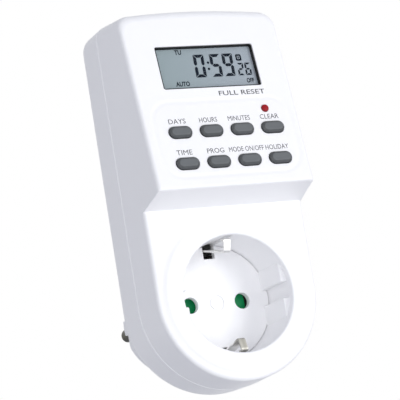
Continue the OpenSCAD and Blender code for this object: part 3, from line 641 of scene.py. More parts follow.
@dataclass(frozen=True)
class Group:
    """Shader group that is built on its first use and shared by the materials.

    Each input has a default: a number, a colour, or None for a vector. Outputs whose name ends in
    Colour are colours. The inside is built by a function that gets the tree and the input node.
    """

    name: str
    takes: dict[str, object]
    gives: tuple[str, ...]
    fill: Callable[[Graph, Node], dict[str, Socket]]

    def tree(self) -> bpy.types.NodeTree:
        """Returns the group's tree, built on its first use.

        Returns:
            The tree.
        """
        known = bpy.data.node_groups.get(self.name)
        if known:
            return known
        tree = bpy.data.node_groups.new(self.name, "ShaderNodeTree")
        for title, value in self.takes.items():
            kind = {type(None): "Vector", tuple: "Color"}.get(type(value), "Float")
            socket = tree.interface.new_socket(title, in_out="INPUT", socket_type=f"NodeSocket{kind}")
            if value is not None:
                socket.default_value = value
        for title in self.gives:
            kind = "Color" if title.endswith("Colour") else "Float"
            tree.interface.new_socket(title, in_out="OUTPUT", socket_type=f"NodeSocket{kind}")
        graph = Graph(tree)
        graph.node("NodeGroupOutput", self.fill(graph, graph.node("NodeGroupInput")))
        return tree

    def outputs(self, graph: Graph, feeds: dict[str, object]) -> dict[str, Socket]:
        """Places the group in a material.

        Args:
            graph: The material's tree.
            feeds: What each input gets.

        Returns:
            The sockets of its outputs.
        """
        placed = graph.node("Group", feeds, node_tree=self.tree())
        return {title: placed.outputs[title] for title in self.gives}


def moulded_skin(graph: Graph, given: Node) -> dict[str, Socket]:
    """Fine spark-eroded grain, faint flow clouds and a little wear in the gloss of a moulding.

    Args:
        graph: The group's tree.
        given: Its input node.

    Returns:
        The socket of each output.
    """
    place, shift = given.outputs["Place"], given.outputs["Shift"]
    fine = graph.noise(place, given.outputs["Grain"], 3.0, 0.6)
    shade = graph.swing(graph.noise(place, 55.0, 2.0), shift, 1.0)
    factor = graph.total(shade, graph.swing(fine, shift), 1.0)
    rubbed = graph.swing(graph.noise(place, 380.0, 4.0), given.outputs["Spread"])
    return {"Skin Colour": graph.scaled(given.outputs["Colour"], factor),
            "Gloss": graph.total(rubbed, given.outputs["Roughness"]), "Height": fine}


def drawn_metal(graph: Graph, given: Node) -> dict[str, Socket]:
    """Drawing lines along one direction, with soft stains that dull the metal; the stain amount also carries
    painted dark reflection where a finish sets it.

    Args:
        graph: The group's tree.
        given: Its input node.

    Returns:
        The socket of each output.
    """
    place = given.outputs["Place"]
    lines = graph.noise(place, 900.0, 2.0)
    cloud = graph.spread(graph.noise(place, 160.0, 3.0), 0.35, 0.7, 0.0, 1.0)
    tone = graph.calc("MULTIPLY", cloud, given.outputs["Stain And Shade"])
    streak = graph.swing(lines, given.outputs["Spread"])
    return {"Metal Colour": graph.mixed(tone, given.outputs["Colour"], given.outputs["Dull Colour"]),
            "Gloss": graph.total(streak, given.outputs["Roughness"], graph.calc("MULTIPLY", tone, 0.2)),
            "Height": lines}


CLEAN = (1.0, 1.0, 1.0, 1.0)
MOULDED_SKIN = Group("moulded_skin", {"Place": None, "Colour": CLEAN, "Shift": 0.02, "Grain": 2600.0,
                                      "Roughness": 0.4, "Spread": 0.1},
                     ("Skin Colour", "Gloss", "Height"), moulded_skin)
DRAWN_METAL = Group("drawn_metal", {"Place": None, "Colour": CLEAN, "Dull Colour": CLEAN, "Stain And Shade": 0.4,
                                    "Roughness": 0.3, "Spread": 0.1},
                    ("Metal Colour", "Gloss", "Height"), drawn_metal)


# ---------------- finishes


@dataclass(frozen=True)
class Finish:
    """Base of all finishes: a named, procedural material that is made once."""

    name: str
    colour: Colour
    roughness: float = 0.4

    def material(self) -> bpy.types.Material:
        """Returns the material, built on its first use.

        Returns:
            The material.
        """
        known = bpy.data.materials.get(self.name)
        if known:
            return known
        made = bpy.data.materials.new(self.name)
        made.use_nodes = True
        graph = Graph(made.node_tree)
        looks = self.looks(graph, graph.node("TexCoord").outputs["Object"])
        graph.feed(made.node_tree.nodes["Principled BSDF"], looks)
        made.diffuse_color = (*self.colour, 1)
        return made

    def looks(self, graph: Graph, place: Socket) -> dict[str, object]:
        """Builds the finish's own nodes.

        Args:
            graph: The material's tree.
            place: Object coordinates.

        Returns:
            What each input of the shader gets.
        """
        raise NotImplementedError


@dataclass(frozen=True)
class Moulding(Finish):
    """Moulded plastic, rubber, resin or lacquer."""

    shift: float = 0.02
    spread: float = 0.1
    grain: float = 2600.0
    depth: float = 0.00001
    specular: float = 0.5

    def looks(self, graph: Graph, place: Socket) -> dict[str, object]:
        """Colour, gloss and grain from the shared moulded skin.

        Args:
            graph: The material's tree.
            place: Object coordinates.

        Returns:
            What each input of the shader gets.
        """
        skin = MOULDED_SKIN.outputs(graph, {
            "Place": place, "Colour": (*self.colour, 1), "Shift": self.shift, "Grain": self.grain,
            "Roughness": self.roughness, "Spread": self.spread})
        return {"Base Color": skin["Skin Colour"], "Roughness": skin["Gloss"],
                "Specular IOR Level": self.specular, "Normal": graph.bump(skin["Height"], self.depth)}


@dataclass(frozen=True)
class PaintedShadeRamp(Moulding):
    """Moulding whose tone changes along one direction: painted shade that darkens a key's flanks against its
    lighter top.
    """

    direction: Triple = (0.0, -math.cos(LEAN), math.sin(LEAN))
    zero: float = CASE.foot_depth * math.cos(LEAN) + CASE.foot_z * math.sin(LEAN)
    start: float = 1.04
    stop: float = 1.14
    tone: float = 0.55

    def looks(self, graph: Graph, place: Socket) -> dict[str, object]:
        """Moulded skin with painted shade: darker before the ramp than after it.

        Args:
            graph: The material's tree.
            place: Object coordinates.

        Returns:
            What each input of the shader gets.
        """
        looks = super().looks(graph, place)
        ends = [(self.zero + end) * MM for end in (self.start, self.stop)]
        tone = graph.spread(graph.along(place, self.direction), *ends, self.tone, 1.0)
        return looks | {"Base Color": graph.scaled(looks["Base Color"], tone)}


@dataclass(frozen=True)
class Metal(Finish):
    """Plated, drawn or rolled metal."""

    dull: Colour = (0.4, 0.38, 0.34)
    stain: float = 0.4
    spread: float = 0.12
    drawn: Triple = (1.0, 0.08, 1.0)
    depth: float = 0.000008
    dark_reflection: float = 0.0
    dark_reflection_along: Triple = (0.0, -0.6, -1.0)
    dark_reflection_from: float = 34.0
    dark_reflection_fade: float = 1.0

    def looks(self, graph: Graph, place: Socket) -> dict[str, object]:
        """Colour, gloss and drawing lines from the shared drawn metal, with painted dark reflection that
        adds stain past a plane along one direction.

        Args:
            graph: The material's tree.
            place: Object coordinates.

        Returns:
            What each input of the shader gets.
        """
        # painted dark reflection: the stain rises past this plane, dulling the lower clip's nose
        reach = graph.along(place, self.dark_reflection_along)
        ends = self.dark_reflection_from * MM, (self.dark_reflection_from + self.dark_reflection_fade) * MM
        skin = DRAWN_METAL.outputs(graph, {
            "Place": graph.stretched(place, self.drawn), "Colour": (*self.colour, 1),
            "Dull Colour": (*self.dull, 1), "Roughness": self.roughness, "Spread": self.spread,
            "Stain And Shade": graph.spread(reach, *ends, self.stain, self.stain + self.dark_reflection)})
        return {"Base Color": skin["Metal Colour"], "Roughness": skin["Gloss"], "Metallic": 1.0,
                "Normal": graph.bump(skin["Height"], self.depth)}


@dataclass(frozen=True)
class ClearPane(Finish):
    """Clear plastic window with faint hairlines."""

    alpha: float = 0.06
    hair_scale: Triple = (60.0, 60.0, 2400.0)

    def looks(self, graph: Graph, place: Socket) -> dict[str, object]:
        """Nearly clear pane whose gloss is broken by hairlines.

        Args:
            graph: The material's tree.
            place: Object coordinates.

        Returns:
            What each input of the shader gets.
        """
        hair = graph.noise(graph.stretched(place, self.hair_scale), 1.0, 2.0)
        return {"Base Color": (*self.colour, 1), "Alpha": self.alpha,
                "Roughness": graph.spread(hair, 0.3, 0.7, self.roughness, self.roughness + 0.05)}


@dataclass(frozen=True)
class LiquidCrystal(Finish):
    """Reflective display glass: grey-green with painted shading, darker at the left and lighter at the
    right, with a fine metallic grain.
    """

    far_colour: Colour = (0.46, 0.52, 0.57)
    half_w: float = 18.0
    grain: float = 4200.0
    shimmer: float = 0.07
    specular: float = 0.3

    def looks(self, graph: Graph, place: Socket) -> dict[str, object]:
        """Painted shading: colour fading from darker at the left to lighter at the right, under the
        reflector's grain.

        Args:
            graph: The material's tree.
            place: Object coordinates.

        Returns:
            What each input of the shader gets.
        """
        # painted shading across the display, from the left edge to the right
        x = graph.node("SeparateXYZ", {0: place}).outputs["X"]
        fade = graph.spread(x, -self.half_w * MM, self.half_w * MM, 0.0, 1.0, smooth=True)
        tint = graph.mixed(fade, (*self.colour, 1), (*self.far_colour, 1))
        grain = graph.noise(place, self.grain, 2.0)
        tone = graph.spread(grain, 0.3, 0.7, 1 - self.shimmer, 1 + self.shimmer)
        return {"Base Color": graph.scaled(tint, tone), "Specular IOR Level": self.specular,
                "Roughness": graph.spread(grain, 0.3, 0.7, self.roughness, self.roughness + 0.1)}


@dataclass(frozen=True)
class Laminate(Finish):
    """Circuit board: lacquer over a woven or paper core."""

    weave: float = 900.0
    depth: float = 0.00003

    def looks(self, graph: Graph, place: Socket) -> dict[str, object]:
        """Lacquer's colour with the weave showing through.

        Args:
            graph: The material's tree.
            place: Object coordinates.

        Returns:
            What each input of the shader gets.
        """
        cross = graph.calc("MULTIPLY", *(graph.ripple(place, self.weave, axis, 1.5) for axis in ("X", "Z")))
        cloud = graph.noise(place, 90.0, 3.0)
        tone = graph.total(graph.spread(cross, 0.0, 1.0, 0.92, 1.04),
                           graph.spread(cloud, 0.3, 0.7, -0.06, 0.06))
        return {"Base Color": graph.scaled(self.colour, tone),
                "Roughness": graph.spread(cloud, 0.3, 0.7, self.roughness - 0.05, self.roughness + 0.1),
                "Normal": graph.bump(cross, self.depth)}


@dataclass(frozen=True)
class Winding(Finish):
    """Enamelled wire wound in even turns, or the cores of a flat cable."""

    pitch: float = 0.25
    axis: str = "Y"
    metallic: float = 0.8

    def looks(self, graph: Graph, place: Socket) -> dict[str, object]:
        """Ridge for each turn and a darker line between turns.

        Args:
            graph: The material's tree.
            place: Object coordinates.

        Returns:
            What each input of the shader gets.
        """
        ridge = graph.ripple(place, math.tau / 20 / (self.pitch * MM), self.axis, 0.4, 1.0)
        dark = tuple(c * 0.45 for c in self.colour)
        return {"Base Color": graph.mixed(ridge, (*dark, 1), (*self.colour, 1)),
                "Roughness": graph.spread(ridge, 0.0, 1.0, self.roughness + 0.2, self.roughness),
                "Metallic": self.metallic, "Normal": graph.bump(ridge, self.pitch * MM * 0.3)}


WHITE = Moulding("white_plastic", (0.968, 0.968, 0.978), 0.36, shift=0.006, spread=0.06)
PAPER = Moulding("floor_paper", (0.9, 0.9, 0.9), 0.9, specular=0.1)
INK = Moulding("grey_ink", (0.06, 0.06, 0.066), 0.55, shift=0.12, spread=0.15, depth=0.000004)
SEGMENTS = Moulding("display_ink", (0.006, 0.012, 0.022), 0.6, shift=0.1, depth=0.000002, specular=0.1)
# pin metal: painted shade, set far darker than bright nickel
PIN_METAL = Metal("pin_metal", (0.1, 0.098, 0.083), 0.4, dull=(0.06, 0.058, 0.045), drawn=(1.0, 0.05, 1.0))
# clip metal: painted dark reflection dulls the lower clip's nose towards the olive dull colour
CLIP_METAL = Metal("clip_metal", (0.95, 0.945, 0.92), 0.33, dull=(0.3, 0.29, 0.25), stain=0.08,
                   drawn=(1.0, 0.06, 0.06), dark_reflection=0.9)

FINISHES: dict[str, Finish] = {
    "white_shell": WHITE,
    "black_trim": Moulding("black_plastic", (0.006, 0.006, 0.007), 0.5, shift=0.1, specular=0.2),
    "clear_lens": ClearPane("clear_window", (0.03, 0.03, 0.035), 0.06),
    "display_glass": LiquidCrystal("display_crystal", (0.38, 0.465, 0.485), 0.32),
    "contact_rubber": Laminate("banded_rubber", (0.05, 0.05, 0.055), 0.8, weave=1600.0),
    "silicone": Moulding("silicone_mat", (0.55, 0.56, 0.58), 0.6, shift=0.04, grain=1200.0),
    # key caps: painted shade, darker on the flanks and chamfer, lighter on the top face
    "key_grey": PaintedShadeRamp("key_plastic", (0.112, 0.122, 0.13), 0.46, shift=0.05, grain=3600.0, depth=0.000016),
    "red_button": Moulding("button_plastic", (0.33, 0.003, 0.01), 0.45, shift=0.05, specular=0.25),
    "green_board": Laminate("green_laminate", (0.02, 0.17, 0.07), 0.35),
    "tan_board": Laminate("paper_laminate", (0.42, 0.27, 0.13), 0.5, weave=300.0),
    "screw_steel": Metal("zinc_steel", (0.58, 0.58, 0.60), 0.32, dull=(0.35, 0.34, 0.32)),
    "black_resin": Moulding("black_resin", (0.014, 0.014, 0.015), 0.3, shift=0.15, grain=900.0,
                            depth=0.00003),
    "metal_can": Metal("crystal_can", (0.66, 0.66, 0.66), 0.22, dull=(0.45, 0.45, 0.44)),
    "cell_can": Metal("cell_steel", (0.63, 0.64, 0.66), 0.26, dull=(0.42, 0.42, 0.43)),
    "nickel_sheet": CLIP_METAL,
    "ribbon_grey": Winding("ribbon_cores", (0.42, 0.42, 0.44), 0.5, pitch=1.27, axis="X", metallic=0.0),
    "copper_winding": Winding("copper_turns", (0.66, 0.25, 0.10), 0.3, pitch=0.22),
    "relay_iron": Metal("soft_iron", (0.52, 0.51, 0.49), 0.36, dull=(0.33, 0.31, 0.28)),
    "brass_sheet": Metal("brass", (0.75, 0.55, 0.24), 0.28, dull=(0.45, 0.31, 0.14)),
    "relay_case": Moulding("relay_plastic", (0.03, 0.12, 0.28), 0.34, shift=0.05),
    "yellow_box": Moulding("capacitor_box", (0.65, 0.44, 0.05), 0.4, shift=0.05),
    "capacitor_sleeve": Moulding("capacitor_sleeve", (0.015, 0.02, 0.06), 0.28, shift=0.1),
    "resistor_body": Moulding("resistor_cement", (0.42, 0.33, 0.22), 0.6, shift=0.08, grain=1500.0),
    "varistor_blue": Moulding("varistor_lacquer", (0.03, 0.08, 0.34), 0.3, shift=0.12, grain=700.0,
                              depth=0.00004),
    "green_shutter": Moulding("shutter_plastic", (0.006, 0.38, 0.125), 0.4, shift=0.06),
    "spring_steel": Metal("spring_wire", (0.6, 0.6, 0.6), 0.25, dull=(0.4, 0.4, 0.4)),
    "block_plastic": Moulding("carrier_plastic", (0.035, 0.03, 0.027), 0.5, shift=0.04, grain=1400.0),
    "pin_nickel": PIN_METAL,
    "lead_brown": Moulding("brown_insulation", (0.13, 0.05, 0.02), 0.45, shift=0.08),
    "lead_black": Moulding("black_insulation", (0.02, 0.02, 0.02), 0.45, shift=0.08),
    "lead_blue": Moulding("blue_insulation", (0.02, 0.07, 0.32), 0.45, shift=0.08),
}


def dress_node(node: str) -> None:
    """Gives a CAD node the finish of its slot in the record.

    Args:
        node: The node's name.
    """
    made = frame["nodes"][node]
    finish = FINISHES[SLOT_OF[node]].material()
    if not made.material_slots:
        made.data.materials.append(finish)
    for slot in made.material_slots:
        slot.material = finish
    LOG.info("%s: CAD node in %s", node, finish.name)


# ---------------- front cover


@dataclass(frozen=True)
class FrontForm:
    """Outer shape of the front cover, or the same shape drawn in by a skin."""

    skin: float = 0.0
    foot_corner: float = 0.5
    side_points: int = 4
    bottom_steps: int = 56
    step_gap: float = 0.02
    step_high: float = 32.5
    roof_v: float = 64.24
    roof_fall: float = 0.27
    roof_skin: float = 1.036
    brow_reach: float = 0.7646
    brow_end: float = 0.7395

    @property
    def edge_r(self) -> float:
        """Radius of the side edges."""
        return max(CASE.edge_r - self.skin, 0.4)

    @property
    def foot_r(self) -> float:
        """Radius of the panel's foot edge."""
        return min(self.edge_r, 0.8)

    @property
    def brow_r(self) -> float:
        """Radius of the upper edge of the panel."""
        return max(CASE.brow_r - self.skin, 0.4)

    @staticmethod
    def placed(x: float, depth: float, z: float) -> Vector:
        """Point at a depth from the wall, drawn in by the side walls' slope."""
        share = 1 - CASE.taper * max(depth - CASE.seam, 0)
        return Vector((x * share, -depth, z * share if z < 0 else z))

    def ledge(self, depth: float) -> float:
        """Height of the ledge under the panel at a depth."""
        fall = CASE.ledge_slope * (CASE.lower - depth)
        return CASE.step_z - fall + self.skin * math.hypot(1, CASE.ledge_slope)

    def ring(self, low: float, high: float, lower_inset: float = 0.0, inset: float = 0.0) -> list[Vector]:
        """Outline of the whole case.

        Args:
            low: Depth of the ring up to the step.
            high: Depth of the ring at the top, which it reaches along a slope.
            lower_inset: How far the part below the step is drawn in.
            inset: How far the whole ring is drawn in.

        Returns:
            The ring's points, from the left end of the step round the bottom, the right and the top.
        """
        half = CASE.half_w - self.skin - inset
        top = CASE.top - self.skin - inset - CASE.roof_slope * (high - CASE.seam)
        step = self.ledge(low)
        below, edge = half - lower_inset, step - self.step_gap
        lower = [(-below, edge), *arc((0, 0), below, 180, 360, self.bottom_steps), (below, edge)]
        climbs = [step + self.foot_corner * i / self.side_points for i in range(self.side_points + 1)]
        upper = [(half, z) for z in climbs] + crown(half, top) + [(-half, z) for z in reversed(climbs)]
        slope = (low - high) / (CASE.top - step)
        return ([self.placed(x, low, z) for x, z in lower]
                + [self.placed(x, low - slope * (z - step), z) for x, z in upper])

    def panel_ring(self, depth: float) -> list[Vector]:
        """Outline parallel to the panel.

        Args:
            depth: How far it lies below the panel's own skin.

        Returns:
            The outline's points, from the right end of the foot.
        """
        deep = depth + self.skin
        half = CASE.half_w - self.skin - inset_at(self.edge_r, depth)
        foot = (CASE.foot_v + self.skin * math.hypot(1, CASE.ledge_climb) + CASE.ledge_climb * deep
                + inset_at(self.foot_r, depth))
        roof = self.roof_v + self.roof_fall * deep - self.roof_skin * self.skin
        if depth < self.brow_r * self.brow_end:
            roof -= self.roof_fall * depth + self.brow_r * self.brow_reach
            roof += math.sqrt(self.brow_r**2 - (self.brow_r - depth) ** 2)
        r = self.foot_corner
        right = arc((half - r, foot + r), r, 270, 360, self.side_points)
        points = [PANEL @ p for p in level(right + crown(half, roof) + mirrored(right), -deep)]
        return [self.placed(p.x, -p.y, p.z) for p in points]

    def solid(self) -> Solid:
        """Builds the form: one skin from the seam, split at the step into lower front and panel.

        Returns:
            The solid.
        """
        made = Solid()
        rise = CASE.lower - self.skin - self.edge_r
        if self.skin:
            rings = [self.ring(CASE.seam - 1, CASE.seam - 1)]
        else:
            cut, start = CASE.seam_chamfer, CASE.seam + CASE.seam_gap
            rings = [self.ring(start, start, inset=cut), self.ring(start + cut, start + cut)]
        rings += [self.ring(rise + climb, self.step_high + climb / 3, lower_inset=inset)
                  for inset, climb in fillet(self.edge_r)]
        loop = first = made.loop(rings[0])
        for ring in rings[1:]:
            loop = made.grown(loop, ring)
        made.bm.faces.new(first)
        lower_count = self.bottom_steps + 3
        made.bm.faces.new(loop[:lower_count] + [loop[lower_count], loop[-1]])
        upper = loop[lower_count:]
        last = self.brow_r * self.brow_end
        depths = {round(inset, 4) for r, steps in ((self.edge_r, 8), (self.brow_r, 10))
                  for inset, _ in fillet(r, steps)}
        for depth in sorted((d for d in depths | {last} if d <= last), reverse=True):
            upper = made.grown(upper, self.panel_ring(depth))
        made.bm.faces.new(upper)
        return made.closed()


@dataclass
class FrontCover:
    """White front moulding with the socket recess, the window and the keys' holes."""

    seat_r: float = 25.4
    seat_bevel: float = 1.8
    seat_soft: tuple[Place, ...] = ((0.5, 0.74), (0.0, 0.93), (-0.5, 1.0))
    recess_r: float = 19.5
    mouth_r: float = 0.7
    joint: float = 0.3
    channel: float = 0.7
    cup_r: float = 21.3
    hole_r: float = 2.7
    hole_flare: float = 0.22
    hole_lip: Place = (0.06, 0.08)
    guide_x: float = 17.1
    guide_zs: Place = (2.65, 9.3)
    guide_drop: float = 2.8
    guide_edge: float = 0.45
    slot_half: float = 2.1
    slot_z: float = 15.0
    slot_drop: float = 1.6
    slot_edge: float = 0.3
    ring_r: float = 2.7
    ring_depth: float = 0.4
    post_r: float = 3.0
    post_start: float = CASE.seam + 0.05
    post_ends: Place = (38.5, 41.0)
    case_hole: Triple = (1.42, 23.0, 34.0)
    block_post: Triple = (2.2, 15.6, 19.9)
    block_hole: Triple = (CASE.pilot_r, 14.0, 18.6)
    panel_post: Triple = (1.9, -8.6, -1.0)
    panel_hole: Triple = (CASE.pilot_r, -9.6, -4.2)
    opening_depth: float = 3.4
    window_play: float = 0.1
    window_mouth: float = 0.2
    key_mouth: float = 0.18
    key_field: Triple = (49.6, 26.4, 6.8)
    field_shift: float = -0.6
    field_v: float = 17.9
    groove_depth: float = 0.1
    groove_reach: float = 1.3

    def seat(self) -> Solid:
        """Raised round seat with a soft bevel.

        Returns:
            The seat.
        """
        face, rise = CASE.lower, CASE.seat - CASE.lower
        outer = self.seat_r + self.seat_bevel
        soft = [(self.seat_r + out, face + rise * share) for out, share in self.seat_soft]
        profile = [(0, face - 1), (outer, face - 1), (outer, face), *soft, (0, face + rise)]
        return Solid.turned(profile, 128).moved(FRONT)

    def recess(self) -> Solid:
        """Tool that cuts the recess: round mouth, open joint round the floor, guides, clips' channels.

        Returns:
            The tool.
        """
        bottom, mouth = CASE.floor, CASE.seat
        r, m, j = self.recess_r, self.mouth_r, self.joint
        low = [(r - j, bottom), (r - j, bottom - 2 * j), (r, bottom - 2 * j)]
        high = [(r + inset, mouth - m + climb) for inset, climb in fillet(m, 5)]
        profile = [(0, bottom), *low, *high, (r + m, mouth + 2), (0, mouth + 2)]
        tool = Solid.turned(profile, 128).moved(FRONT)
        near, far = self.guide_zs
        for sx in SIDES:
            for sz in SIDES:
                guide = Solid.block((sx * self.guide_x, self.guide_drop - mouth, sz * near),
                                    (sx * (r + 2), 1 - bottom, sz * far), self.guide_edge)
                tool.joined(Join.CUT, guide)
            channel = Solid.block((-self.slot_half, self.slot_drop - mouth, sx * self.slot_z),
                                  (self.slot_half, -bottom, sx * (r + self.channel)))
            tool.joined(Join.ADD, channel)
        return tool

    def floor_cuts(self) -> list[Solid]:
        """Tools for the pin holes, the slots of the earth strips and the moulded ring.

        Returns:
            The tools.
        """
        tools = []
        deep, face = CASE.floor_back - 1, CASE.floor
        r, wide, (out, down) = self.hole_r, self.hole_r + self.hole_flare, self.hole_lip
        hole = [(0, deep), (r, deep), (r, face - self.hole_flare), (r + out, face - down),
                (wide, face), (wide, face + 1), (0, face + 1)]
        for s in SIDES:
            tools.append(Solid.turned(hole, 48).moved(facing(s * CASE.pin_x)))
            end = self.recess_r + self.channel + 0.1
            tools.append(Solid.block((-self.slot_half, -face - 0.6, s * self.slot_z),
                                     (self.slot_half, 1 - deep, s * end), self.slot_edge))
        r, low = self.ring_r, face - self.ring_depth
        ring = [(r - 0.5, low), (r, low), (r + 0.1, face + 0.3), (r - 0.6, face + 0.3)]
        tools.append(Solid.turned(ring, 64, ring=True).moved(FRONT))
        return tools

    def screws(self) -> Iterable[tuple[Matrix, Point, Point]]:
        """Place of each screw, with the rods that make its post and its pilot hole.

        Returns:
            For each screw the placement, and what Solid.rod gets for the post and for the hole.
        """
        for s in SIDES:
            for z, end in zip(CASE.screw_zs, self.post_ends):
                yield facing(s * CASE.screw_x, z), (self.post_r, self.post_start, end, 40), self.case_hole
            x, z = CASE.block_screw
            yield facing(s * x, s * z), self.block_post, (*self.block_hole, 24)
            for v in CASE.display_post_vs:
                yield on_panel(s * CASE.display_post_x, v), self.panel_post, (*self.panel_hole, 24)

    def posts(self) -> list[Solid]:
        """Cup's outer wall, the shutter's stud and the posts for screws.

        Returns:
            The solids that are added.
        """
        stud = [(0, 15.2), (1.9, 15.2), (2.0, 15.4), (2.0, 20), (0, 20)]
        cup = Solid.rod(self.cup_r, CASE.floor_back, CASE.lower, 96)
        round_the_axis = [cup.moved(FRONT), Solid.turned(stud, 32).moved(FRONT)]
        return round_the_axis + [Solid.rod(*post).moved(place) for place, post, _ in self.screws()]

    def screw_holes(self) -> list[Solid]:
        """Tools for the screws' pilot holes."""
        return [Solid.rod(*hole).moved(place) for place, _, hole in self.screws()]

    def opening(self, size: Place, radius: float, place: Place, mouth: float) -> Solid:
        """Tool for an opening in the panel.

        Args:
            size: Its width and height.
            radius: Its corner radius.
            place: Its middle on the panel.
            mouth: Radius of its outer edge.

        Returns:
            The tool.
        """
        def outline(grow: float) -> list[Vector]:
            """Opening's outline, grown by a distance."""
            return rounded(size[0] + 2 * grow, size[1] + 2 * grow, radius + grow, 8)

        return Solid.prism(outline, -self.opening_depth, 0, edge=-mouth).moved(on_panel(*place))

    def panel_cuts(self, keys: "Keypad", window: "Display") -> list[Solid]:
        """Tools for the window, the keys' holes and the soft line moulded round them.

        Args:
            keys: Keypad whose caps pass through the panel.
            window: Display whose frame fills the window.

        Returns:
            The tools.
        """
        rim = window.rim + self.window_play
        size = window.width + 2 * rim, window.height + 2 * rim
        tools = [self.opening(size, window.corner_r + rim, (0, window.v), self.window_mouth)]
        size = keys.length + 2 * keys.gap, keys.width + 2 * keys.gap
        tools += [self.opening(size, keys.length, place, self.key_mouth) for place in keys.places.values()]
        wide = 2 * (keys.reset_r + keys.reset_gap)
        tools.append(self.opening((wide, wide), wide, (keys.reset_x, keys.reset_v), self.key_mouth))
        tools.append(self.groove().moved(on_panel(keys.centre_x + self.field_shift, self.field_v)))
        return tools

    def groove(self) -> Solid:
        """Tool for the soft shallow line round the field of the keys.

        Returns:
            The tool, about the middle of the field.
        """
        width, height, radius = self.key_field
        reach = self.groove_reach
        steps = [i / 8 for i in range(-8, 9)]
        section = [(t * reach, -self.groove_depth * (1 + math.cos(math.pi * t)) / 2) for t in steps]
        rings = [level(rounded(width + 2 * g, height + 2 * g, radius + g, 10), n)
                 for g, n in [(-reach, 0.6), *section, (reach, 0.6)]]
        return Solid.lofted(rings, ring_shut=True)

    def build(self, keys: "Keypad", window: "Display") -> None:
        """Builds and publishes the cover.

        Args:
            keys: Keypad whose caps pass through the panel.
            window: Display whose frame fills the window.
        """
        shell = FrontForm().solid()
        shell.joined(Join.ADD, self.seat())
        shell.joined(Join.CUT, FrontForm(CASE.wall).solid())
        shell.joined(Join.ADD, *self.posts())
        shell.joined(Join.CUT, self.recess(), *self.floor_cuts(), *self.screw_holes())
        shell.joined(Join.CUT, *self.panel_cuts(keys, window))
        shell.piece("front_cover_shell", WHITE, stands_for=["front_cover"])


# ---------------- rear cover


